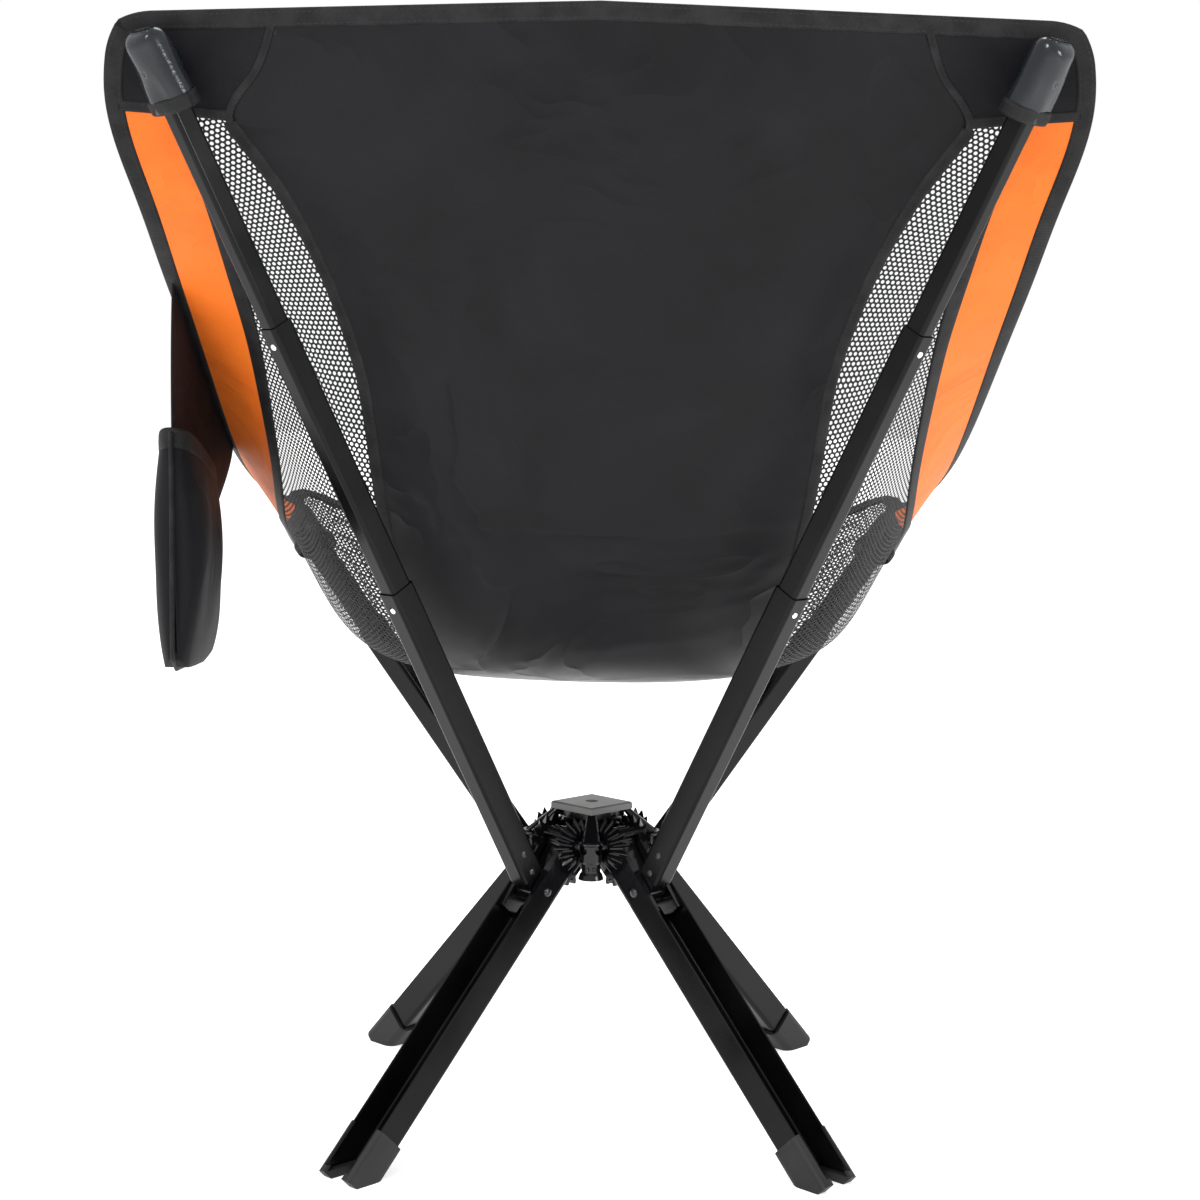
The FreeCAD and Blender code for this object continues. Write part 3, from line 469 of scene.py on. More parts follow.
def start_material(name: str) -> tuple[bpy.types.Material, Net, bpy.types.Node]:
    """A material with only its shader and output."""
    material = bpy.data.materials.new(name)
    material.use_nodes = True
    net = Net(material.node_tree)
    material.node_tree.nodes.clear()
    shader = net.node("ShaderNodeBsdfPrincipled")
    output = net.node("ShaderNodeOutputMaterial")
    net.tree.links.new(shader.outputs[0], output.inputs[0])
    return material, net, shader


def bumped(
    net: Net, height: object, distance: float, strength: float, below: object = None
) -> bpy.types.NodeSocket:
    """A bump's normal, laid over another one where given."""
    made = net.node("ShaderNodeBump")
    made.inputs["Strength"].default_value = strength
    made.inputs["Distance"].default_value = distance
    net.feed(made.inputs["Height"], height)
    if below is not None:
        net.feed(made.inputs["Normal"], below)
    return made.outputs[0]


@dataclass(frozen=True)
class ClothFinish:
    """Woven polyester, coated or plain."""

    name: str
    colour: Colour
    # The paler colour: random tone, and painted light on the raised crossings of the weave.
    paler_and_lit: Colour
    roughness: float
    threads: float = 900.0
    weave_depth: float = 0.00012
    crease_scale: float = 7.0
    crease_depth: float = 0.003
    sheen: float = 0.0
    specular: float = 0.5
    coat: float = 0.0

    def build(self, groups: Groups) -> bpy.types.Material:
        """Makes the material."""
        material, net, shader = start_material(self.name)
        place = net.node("ShaderNodeUVMap", uv_map="Cloth").outputs[0]
        weave = place_group(
            net,
            groups.weave,
            {"Vector": place, "Threads": self.threads, "Colour": self.colour, "Paler_And_Lit": self.paler_and_lit},
        )
        crease = place_group(net, groups.creases, {"Vector": place, "Scale": self.crease_scale})
        folds = bumped(net, crease["Height"], self.crease_depth, 0.7)
        normal = bumped(net, weave["Height"], self.weave_depth, 0.8, folds)
        net.feed(shader.inputs["Base Color"], weave["Colour"])
        net.feed(shader.inputs["Normal"], normal)
        shader.inputs["Roughness"].default_value = self.roughness
        shader.inputs["Specular IOR Level"].default_value = self.specular
        shader.inputs["Sheen Weight"].default_value = self.sheen
        shader.inputs["Coat Weight"].default_value = self.coat
        shader.inputs["Coat Roughness"].default_value = 0.35
        return material


@dataclass(frozen=True)
class NettingFinish:
    """Black knitted netting with open holes."""

    name: str
    colour: Colour
    pitch: float = 0.0044
    hole: float = 0.30

    def build(self, groups: Groups) -> bpy.types.Material:
        """Makes the material."""
        material, net, shader = start_material(self.name)
        place = net.node("ShaderNodeUVMap", uv_map="Cloth").outputs[0]
        feeds = {"Vector": place, "Pitch": self.pitch, "Hole": self.hole}
        netting = place_group(net, groups.netting, feeds)
        fibre = net.noise(place, 2600.0, 2.0)
        pale = tuple(part * 2.6 + 0.01 for part in self.colour)
        colour = net.blend(fibre, (*self.colour, 1.0), (*pale, 1.0))
        net.feed(shader.inputs["Base Color"], colour)
        net.feed(shader.inputs["Alpha"], netting["Cover"])
        net.feed(shader.inputs["Normal"], bumped(net, netting["Height"], 0.0006, 0.9))
        shader.inputs["Roughness"].default_value = 0.62
        shader.inputs["Specular IOR Level"].default_value = 0.15
        return material


@dataclass(frozen=True)
class BindingFinish:
    """Ribbed binding tape with its rows of stitches."""

    name: str
    colour: Colour
    thread: Colour
    ribs: float = 620.0
    stitch: float = 0.0042
    place: float = 0.30
    roughness: float = 0.6

    def build(self, groups: Groups) -> bpy.types.Material:
        """Makes the material."""
        material, net, shader = start_material(self.name)
        place = net.node("ShaderNodeUVMap", uv_map="Cloth").outputs[0]
        along, _across = net.parts(place)
        rib = net.math("SINE", net.math("MULTIPLY", along, self.ribs * math.tau))
        feeds = {"Vector": place, "Length": self.stitch, "Place": self.place, "Width": 0.035}
        stitches = place_group(net, groups.stitches, feeds)
        coordinates = net.node("ShaderNodeTexCoord").outputs["Object"]
        worn = net.noise(coordinates, 60.0, 3.0)
        pale = tuple(part * 2.2 + 0.006 for part in self.colour)
        cloth = net.blend(net.spread(worn, 0.4, 0.8), (*self.colour, 1.0), (*pale, 1.0))
        colour = net.blend(stitches["Mask"], cloth, (*self.thread, 1.0))
        height = net.math("ADD", net.spread(rib, -1.0, 1.0, 0.0, 0.4), stitches["Mask"])
        net.feed(shader.inputs["Base Color"], colour)
        net.feed(shader.inputs["Normal"], bumped(net, height, 0.0004, 0.8))
        shader.inputs["Roughness"].default_value = self.roughness
        shader.inputs["Specular IOR Level"].default_value = 0.2
        return material


@dataclass(frozen=True)
class HardFinish:
    """Metal, plastic, rubber or vinyl with grain and handling marks."""

    name: str
    colour: Colour
    worn: Colour
    smooth: float
    rough: float
    metallic: float = 0.0
    grain: float = 900.0
    grain_depth: float = 0.00008
    coat: float = 0.0
    specular: float = 0.5

    def build(self, groups: Groups) -> bpy.types.Material:
        """Makes the material."""
        material, net, shader = start_material(self.name)
        place = net.node("ShaderNodeTexCoord").outputs["Object"]
        surface = place_group(
            net,
            groups.handled,
            {
                "Vector": place,
                "Colour": self.colour,
                "Worn": self.worn,
                "Grain": self.grain,
                "Smooth": self.smooth,
                "Rough": self.rough,
            },
        )
        net.feed(shader.inputs["Base Color"], surface["Colour"])
        net.feed(shader.inputs["Roughness"], surface["Roughness"])
        net.feed(shader.inputs["Normal"], bumped(net, surface["Height"], self.grain_depth, 0.6))
        shader.inputs["Metallic"].default_value = self.metallic
        shader.inputs["Coat Weight"].default_value = self.coat
        shader.inputs["Coat Roughness"].default_value = 0.2
        shader.inputs["Specular IOR Level"].default_value = self.specular
        return material


FINISHES = (
    # For each cloth, the second colour is the paler tone that the weave also uses as painted light on
    # its raised crossings.
    ClothFinish("coated_polyester", (0.0030, 0.0030, 0.0036), (0.0075, 0.0075, 0.0090), 0.32,
                crease_scale=6.0, crease_depth=0.007, specular=0.13),
    ClothFinish("plain_polyester", (0.0034, 0.0034, 0.0042), (0.0095, 0.0095, 0.0115), 0.6,
                threads=700.0, specular=0.10),
    ClothFinish("orange_polyester", (0.60, 0.105, 0.008), (0.74, 0.17, 0.016), 0.55,
                threads=700.0, crease_scale=9.0, crease_depth=0.004, specular=0.2),
    NettingFinish("netting", (0.004, 0.004, 0.0045)),
    BindingFinish("binding_tape", (0.0035, 0.0035, 0.004), (0.012, 0.012, 0.013)),
    HardFinish("black_powder_coat", (0.0022, 0.0022, 0.0026), (0.007, 0.007, 0.0077), 0.18, 0.30,
               grain=2600.0, grain_depth=0.00004, specular=0.14),
    HardFinish("polished_nylon", (0.002, 0.002, 0.0025), (0.006, 0.006, 0.007), 0.10, 0.24,
               grain=1400.0, specular=0.34),
    HardFinish("satin_cap", (0.075, 0.075, 0.073), (0.13, 0.13, 0.125), 0.34, 0.5, grain=2000.0),
    HardFinish("zinc_steel", (0.55, 0.56, 0.58), (0.32, 0.32, 0.33), 0.22, 0.45, metallic=1.0),
    HardFinish("bright_chrome", (0.85, 0.86, 0.88), (0.6, 0.61, 0.63), 0.08, 0.22, metallic=1.0),
    HardFinish("boot_rubber", (0.010, 0.010, 0.011), (0.030, 0.030, 0.031), 0.5, 0.72,
               grain=700.0, grain_depth=0.0002, specular=0.25),
    HardFinish("black_rivet", (0.006, 0.006, 0.007), (0.05, 0.05, 0.055), 0.18, 0.35),
    HardFinish("gloss_vinyl", (0.008, 0.010, 0.012), (0.02, 0.024, 0.028), 0.16, 0.34,
               grain=420.0, grain_depth=0.00025, coat=0.1, specular=0.25),
)

NODE_FINISH = {
    "hub_core": "polished_nylon",
    "fixed_gears": "polished_nylon",
    "leg_knuckle": "polished_nylon",
    "arm_knuckle": "polished_nylon",
    "hub_cap": "satin_cap",
    "hub_screw": "zinc_steel",
    "leg_axles": "zinc_steel",
    "button": "bright_chrome",
    "tube": "black_powder_coat",
    "channel": "black_powder_coat",
    "foot": "boot_rubber",
    "rivets": "black_rivet",
    "pin": "black_rivet",
    "tip_screw": "black_rivet",
    "plug": "polished_nylon",
    "pocket": "gloss_vinyl",
    "sling": "plain_polyester",
    "pouch": "plain_polyester",
}


def dress(piece: bpy.types.Object, material: bpy.types.Material) -> None:
    """Gives a piece one material on all its faces."""
    piece.data.materials.clear()
    piece.data.materials.append(material)


# The hung seat


@dataclass(frozen=True)
class HungSurface:
    """The seat's surface. Spot runs -1 to 1 from hem to hem, row 0 to 11 from top to front.

    Each row is: middle y and z, hem x, y and z, how much the row sags, and how boxy it is.
    Half a row is a cubic curve whose two inner points move outward and down with both.
    """

    rows: tuple[tuple[float, ...], ...] = (
        (-0.292, 0.871, 0.333, -0.292, 0.860, 0.00, 0.00),
        (-0.277, 0.818, 0.344, -0.270, 0.808, 0.10, 0.00),
        (-0.255, 0.752, 0.336, -0.222, 0.748, 0.30, 0.00),
        (-0.228, 0.678, 0.330, -0.162, 0.700, 0.50, 0.00),
        (-0.196, 0.598, 0.326, -0.108, 0.662, 0.70, 0.00),
        (-0.152, 0.510, 0.322, -0.048, 0.622, 0.90, 0.10),
        (-0.095, 0.428, 0.317, 0.008, 0.584, 1.00, 0.30),
        (-0.022, 0.373, 0.313, 0.070, 0.554, 1.00, 0.60),
        (0.060, 0.361, 0.308, 0.135, 0.533, 0.90, 0.85),
        (0.140, 0.374, 0.302, 0.205, 0.518, 0.70, 0.95),
        (0.215, 0.404, 0.296, 0.262, 0.505, 0.50, 0.85),
        (0.309, 0.450, 0.292, 0.3192, 0.512, 0.25, 0.50),
    )
    corner_spot: float = 0.085
    top_corner_row: float = 0.55
    front_corner_row: float = 0.55
    ripple: float = 0.0011

    @property
    def last(self) -> float:
        """The front row's number."""
        return float(len(self.rows) - 1)

    def rounded(self, spot: np.ndarray, row: np.ndarray) -> tuple[np.ndarray, np.ndarray]:
        """Draws the four square corners in to arcs.

        Close to a corner the two distances u and v become u * sqrt(1 - v^2 / 2) and
        v * sqrt(1 - u^2 / 2), which turns the square's outer edges into a circle.

        Args:
            spot: Places across.
            row: Places along.

        Returns:
            The same places, rounded.
        """
        across = np.abs(spot)
        for front, reach in ((False, self.top_corner_row), (True, self.front_corner_row)):
            inset = self.last - row if front else row
            u = np.clip(1.0 - (1.0 - across) / self.corner_spot, 0.0, 1.0)
            v = np.clip(1.0 - inset / reach, 0.0, 1.0)
            both = (u > 0.0) & (v > 0.0)
            new_u = u * np.sqrt(1.0 - v**2 / 2.0)
            new_v = v * np.sqrt(1.0 - u**2 / 2.0)
            across = np.where(both, 1.0 - (1.0 - new_u) * self.corner_spot, across)
            inset = np.where(both, (1.0 - new_v) * reach, inset)
            row = self.last - inset if front else inset
        return np.copysign(across, spot), row

    def plain(self, spot: np.ndarray, row: np.ndarray) -> np.ndarray:
        """Places on the smooth surface, before any cloth thickness."""
        table = np.array(self.rows)
        middle = np.linalg.norm(np.diff(table[:, :2], axis=0), axis=1)
        knots = np.concatenate([[0.0], np.cumsum(middle)])
        at = np.interp(row, np.arange(len(knots)), knots)
        line = natural_spline(knots, table, at)
        sag = np.clip(line[..., 5], 0.0, 1.0)
        fill = np.clip(line[..., 6], 0.0, 1.0)
        across = np.abs(spot)
        near = 1 / 3 + sag * (0.90 - 1 / 3)
        near = near + fill * (0.82 - near)
        far = 2 / 3 + sag * (0.50 - 2 / 3)
        far = far + fill * (0.62 - far)
        rise_near = (1.0 - sag) / 3.0 * (1.0 - fill)
        rise_far = 2 / 3 + sag * (0.40 - 2 / 3)
        rise_far = rise_far + fill * (0.10 - rise_far)
        first = 3.0 * (1.0 - across) ** 2 * across
        second = 3.0 * (1.0 - across) * across**2
        wide = first * near + second * far + across**3
        rise = first * rise_near + second * rise_far + across**3
        return np.stack(
            [
                np.sign(spot) * line[..., 2] * wide,
                line[..., 0] + (line[..., 3] - line[..., 0]) * rise,
                line[..., 1] + (line[..., 4] - line[..., 1]) * rise,
            ],
            axis=-1,
        )

    def normal(self, spot: np.ndarray, row: np.ndarray) -> np.ndarray:
        """Direction out of the back of the cloth, from small steps both ways."""
        step = 0.01
        across = self.plain(spot + step, row) - self.plain(spot - step, row)
        low = np.clip(row - step, 0.0, self.last)
        high = np.clip(row + step, 0.0, self.last)
        along = self.plain(spot, high) - self.plain(spot, low)
        return unit(np.cross(across, along))

    def point(self, spot: np.ndarray, row: np.ndarray, lift: float = 0.0) -> np.ndarray:
        """Places on the cloth: rounded corners, slight ripples, and a lift off the surface.

        Args:
            spot: Places across, -1 to 1.
            row: Places along, 0 to 11.
            lift: Distance off the surface, towards the chair's back.

        Returns:
            Points in metres.
        """
        spot, row = self.rounded(np.asarray(spot, float), np.asarray(row, float))
        inside = (1.0 - np.abs(spot)) * np.clip(row, 0.0, 1.0) * np.clip(self.last - row, 0.0, 1.0)
        wave = np.sin(9.0 * np.abs(spot) + 2.3 * row) + 0.6 * np.sin(15.0 * spot - 3.1 * row + 0.7)
        off = lift + self.ripple * inside * wave
        return self.plain(spot, row) + self.normal(spot, row) * off[..., None]


@dataclass(frozen=True)
class Seams:
    """Where the seat's panels meet, as spot against row."""

    panel_rows: tuple[float, ...] = (0, 0.5, 0.86, 1.1, 1.25, 1.45, 2, 3, 4, 5, 6, 7, 8, 9, 10, 11)
    panel_spots: tuple[float, ...] = (
        0.668, 0.678, 0.703, 0.738, 0.752, 0.735, 0.665, 0.535, 0.40, 0.316, 0.258, 0.22, 0.21,
        0.23, 0.28, 0.365,
    )
    wing_rows: tuple[float, ...] = (0, 1, 2, 3, 4, 5, 6, 7, 8, 9, 10, 10.6, 11)
    wing_spots: tuple[float, ...] = (
        0.88, 0.858, 0.84, 0.83, 0.82, 0.82, 0.83, 0.85, 0.875, 0.91, 0.955, 0.985, 0.99,
    )
    patch_inner_row: float = 1.30
    patch_hem_row: float = 1.10

    def panel(self, row: np.ndarray) -> np.ndarray:
        """Spot of the middle panel's edge."""
        return self._smooth(self.panel_rows, self.panel_spots, row)

    def wing(self, row: np.ndarray) -> np.ndarray:
        """Spot of the wing's inner edge."""
        return self._smooth(self.wing_rows, self.wing_spots, row)

    def patch_foot(self, spot: np.ndarray) -> np.ndarray:
        """Row where a corner patch ends, falling in a shallow arc towards the hem."""
        share = np.clip((np.abs(spot) - 0.7) / 0.3, 0.0, 1.0)
        return self.patch_inner_row + (self.patch_hem_row - self.patch_inner_row) * share**0.7

    @staticmethod
    def _smooth(rows: tuple, spots: tuple, row: np.ndarray) -> np.ndarray:
        """Spline of a seam's spots over its rows."""
        knots = np.array(rows, float)
        values = np.array(spots, float)[:, None]
        return natural_spline(knots, values, np.asarray(row, float))[..., 0]


@dataclass
class Seat:
    """The hung seat: middle panel, netting, wings, corner patches, and their tapes."""

    surface: HungSurface
    seams: Seams
    materials: dict[str, bpy.types.Material]
    edge: float = 0.985
    top_row: float = 0.08
    front_row: float = 10.93
    cloth: float = 0.0011
    hem_width: float = 0.0135
    seam_width: float = 0.010
    tape_thickness: float = 0.0030
    squash_anchor: tuple[float, float, float] = (0.0, 0.0, 0.272)
    squash_keep: float = 0.3

    def build(self) -> list[bpy.types.Object]:
        """Returns:
            All the seat's pieces.
        """
        middle = self.middle_panel()
        pieces = [middle]
        tapes = [self.hem_tape()]
        for side, sign in SIDES.items():
            pieces += [self.netting(side, sign), self.wing(side, sign), self.patch(side, sign)]
            tapes += self.seam_tapes(side, sign)
        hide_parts("seat_sling")
        for piece in pieces + tapes:
            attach(piece, SEAT_BODY)
            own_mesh(piece)
        for piece in pieces:
            declare_sheet(piece)
        return pieces + tapes

    def panel(
        self, name: str, spot: np.ndarray, row: np.ndarray, finish: str, lift: float = 0.0
    ) -> bpy.types.Object:
        """One panel of cloth over a grid of spots and rows.

        Args:
            name: The piece's name.
            spot: Grid of spots.
            row: Grid of rows.
            finish: Name of its finish.
            lift: Distance off the surface.

        Returns:
            The panel, with its thickness as a modifier unless it is netting.
        """
        points = self.surface.point(spot, row, lift)
        uv = straight_uv(points) if finish == "netting" else None
        piece = surface_object(name, points, uv)
        if finish != "netting":
            wall = piece.modifiers.new("thickness", "SOLIDIFY")
            wall.thickness = self.cloth
            wall.offset = 0.0
        dress(piece, self.materials[finish])
        log.info("%s: %d points", name, points.shape[0] * points.shape[1])
        return piece

    def middle_panel(self) -> bpy.types.Object:
        """The coated panel from the top hem to the front hem."""
        across, down = np.linspace(-1, 1, 81), np.linspace(self.top_row, self.front_row, 220)
        share, row = np.meshgrid(across, down, indexing="ij")
        return self.panel("middle_panel", share * self.seams.panel(row), row, "coated_polyester")

    def netting(self, side: str, sign: float) -> bpy.types.Object:
        """The open strip between middle panel and wing."""
        share, down = np.meshgrid(np.linspace(0, 1, 31), np.linspace(0, 1, 200), indexing="ij")
        inner = self.seams.panel(self.seams.patch_inner_row)
        start = self.seams.patch_foot(inner + share * (self.seams.wing(1.2) - inner))
        row = start + (self.front_row - start) * down
        spot = self.seams.panel(row) * (1 - share) + self.seams.wing(row) * share
        return self.panel(f"{side}_netting", sign * spot, row, "netting", 0.0002)

    def wing(self, side: str, sign: float) -> bpy.types.Object:
        """The orange strip along the arm rest."""
        share, down = np.meshgrid(np.linspace(0, 1, 21), np.linspace(0, 1, 200), indexing="ij")
        start = self.seams.patch_foot(self.seams.wing(1.1) * (1 - share) + share)
        row = start + (10.85 - start) * down
        spot = self.seams.wing(row) * (1 - share) + self.edge * share
        return self.panel(f"{side}_wing", sign * spot, row, "orange_polyester")

    def patch(self, side: str, sign: float) -> bpy.types.Object:
        """The black patch that the pole pocket is sewn to."""
        share, down = np.meshgrid(np.linspace(0, 1, 41), np.linspace(0, 1, 41), indexing="ij")
        inner = self.seams.panel(down * self.seams.patch_inner_row)
        spot = inner * (1 - share) + self.edge * share
        row = self.top_row + (self.seams.patch_foot(spot) - self.top_row) * down
        return self.panel(f"{side}_corner_patch", sign * spot, row, "plain_polyester")

    def tape(
        self, name: str, spot: np.ndarray, row: np.ndarray, width: float, closed: bool = False
    ) -> bpy.types.Object:
        """A tape folded over a seam, a flat oval carried along the cloth.

        Args:
            name: The piece's name.
            spot: Spots along the seam.
            row: Rows along the seam.
            width: The tape's width.
            closed: Whether the seam runs round to its start.

        Returns:
            The tape.
        """
        path = self.surface.point(spot, row)
        up = self.surface.normal(*self.surface.rounded(spot, row))
        if closed:
            ahead = unit(np.roll(path, -1, axis=0) - np.roll(path, 1, axis=0))
        else:
            ahead = unit(np.gradient(path, axis=0))
        side = unit(np.cross(up, ahead))
        profile = flat_oval(width, self.tape_thickness, 3.2, 16)
        points, uv = carried_profile(path, side, up, profile)
        piece = surface_object(
            name, points, uv, wrap_rows=closed, wrap_columns=True, caps=not closed
        )
        dress(piece, self.materials["binding_tape"])
        log.info("%s: %.0f mm", name, 1000.0 * uv[-1, 0, 0])
        return piece

    def hem_tape(self) -> bpy.types.Object:
        """The tape all round the seat."""
        last = self.surface.last
        spot_in, row_top, row_front = 0.982, 0.11, 0.075
        right = np.linspace(-spot_in, spot_in, 161)[:-1]
        down = np.linspace(row_top, last - row_front, 361)[:-1]
        spot = np.concatenate([right, np.full(360, spot_in), -right, np.full(360, -spot_in)])
        rows = [np.full(160, row_top), down, np.full(160, last - row_front), down[::-1] + 0.03]
        return self.tape("hem_tape", spot, np.concatenate(rows), self.hem_width, closed=True)

    def seam_tapes(self, side: str, sign: float) -> list[bpy.types.Object]:
        """The tapes over one side's inner seams."""
        low = np.linspace(self.seams.patch_inner_row, 10.9, 200)
        high = np.linspace(0.12, self.seams.patch_inner_row + 0.06, 40)
        along = np.linspace(self.seams.patch_foot(np.array(0.83)), 10.7, 200)
        foot = np.linspace(float(self.seams.panel(self.seams.patch_inner_row)), 0.975, 50)
        return [
            self.tape(f"{side}_panel_tape", sign * self.seams.panel(low), low, self.seam_width),
            self.tape(f"{side}_patch_tape", sign * self.seams.panel(high), high, 0.006),
            self.tape(f"{side}_wing_tape", sign * self.seams.wing(along), along, self.hem_width),
            self.tape(f"{side}_foot_tape", sign * foot, self.seams.patch_foot(foot), 0.008),
        ]


def declare_sheet(
    piece: bpy.types.Object
) -> None:
    """Reads a sheet's vertex places and cloth coordinates, and does nothing more with them.

    Args:
        piece: The sheet.
    """
    mesh = piece.data
    places = np.zeros(len(mesh.vertices) * 3)
    mesh.vertices.foreach_get("co", places)
    coordinates = np.zeros(len(mesh.loops) * 2)
    mesh.uv_layers["Cloth"].data.foreach_get("uv", coordinates)


# Arms


@dataclass
class ArmEnd:
    """One arm's line, read from its joints, with the soft pocket over its tip."""

    corner: str
    materials: dict[str, bpy.types.Material]
    mouth_reach: float = 0.056
    beyond_tip: float = 0.004
    half_width: float = 0.0205
    half_depth: float = 0.0128
    squareness: float = 0.80
    taper: float = 0.27

    def __post_init__(self) -> None:
        """Works out the arm's origin and directions."""
        joints = {joint["name"]: joint for joint in frame["joints"]}
        buttons = [name for name in joints if name.startswith(self.corner) and "press" in name]
        self.start = np.array(joints[f"{self.corner}_arm_fold"]["pos_m"])
        self.along = -unit(np.array(joints[f"{self.corner}_top_slide"]["axis"]))
        self.inward = unit(np.array(joints[buttons[0]]["axis"]))
        self.across = np.cross(self.inward, self.along)

    def tip(self) -> float:
        """Distance from the arm's pivot to the pocket's closed end."""
        mesh = frame["nodes"][f"{self.corner}_pole_pocket"].data
        places = np.zeros(len(mesh.vertices) * 3)
        mesh.vertices.foreach_get("co", places)
        return float(((places.reshape(-1, 3) - self.start) @ self.along).max())

    def pocket(self) -> bpy.types.Object:
        """The vinyl pocket: flat ovals along the arm, wide at the mouth and flat at the tip.

        The width falls in a straight line from mouth to tip and the depth on a quarter circle
        over the last fifth; gathers run up from the mouth and die out half way.

        Returns:
            The pocket's cover.
        """
        tip = self.tip() + self.beyond_tip
        share = np.linspace(0.0, 1.0, 60)[:, None]
        turn = (np.arange(48) / 48 * math.tau)[None, :]
        close = np.clip((share - 0.80) / 0.20, 0.0, 1.0)
        size = (1.0 - self.taper * share) * np.sqrt(1.0 - 0.35 * close**5)
        thin = np.sqrt(1.0 - 0.88 * close**2.4)
        wave = 0.05 * np.sin(turn * 7 + 1.0) * (1.0 - share) + 0.04 * np.sin(turn * 3 + share * 9)
        wide = squared(np.cos(turn), self.squareness)
        deep = squared(np.sin(turn), self.squareness)
        line = tip - self.mouth_reach * (1.0 - share)
        points = (
            self.start
            + self.along * line[..., None]
            + self.across * (wide * size * self.half_width)[..., None]
            + self.inward * (deep * thin * self.half_depth * (1.0 + wave))[..., None]
        )
        name = f"{self.corner}_pocket_cover"
        piece = surface_object(name, points, wrap_columns=True, caps=True)
        dress(piece, self.materials["gloss_vinyl"])
        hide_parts(f"{self.corner}_pole_pocket")
        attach(piece, f"{self.corner}_top")
        log.info("%s", name)
        return piece

    def pocket_rim(self) -> bpy.types.Object:
        """The bound mouth of the pocket, a small roll round its ovals."""
        line = self.tip() + self.beyond_tip - self.mouth_reach + 0.0045
        turn = np.arange(64) / 64 * math.tau
        wide = squared(np.cos(turn), self.squareness)
        deep = squared(np.sin(turn), self.squareness)
        ring = (
            self.start
            + self.along * line
            + self.across * (wide * self.half_width * 0.99)[:, None]
            + self.inward * (deep * self.half_depth * 0.99)[:, None]
        )
        out = unit(ring - ring.mean(axis=0))
        along = np.broadcast_to(self.along, out.shape)
        points, uv = carried_profile(ring, along, out, flat_oval(0.0105, 0.0024, 3.2, 12))
        piece = surface_object(
            f"{self.corner}_pocket_rim", points, uv, wrap_rows=True, wrap_columns=True, flip=True
        )
        dress(piece, self.materials["binding_tape"])
        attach(piece, f"{self.corner}_top")
        return piece


# The side pouch


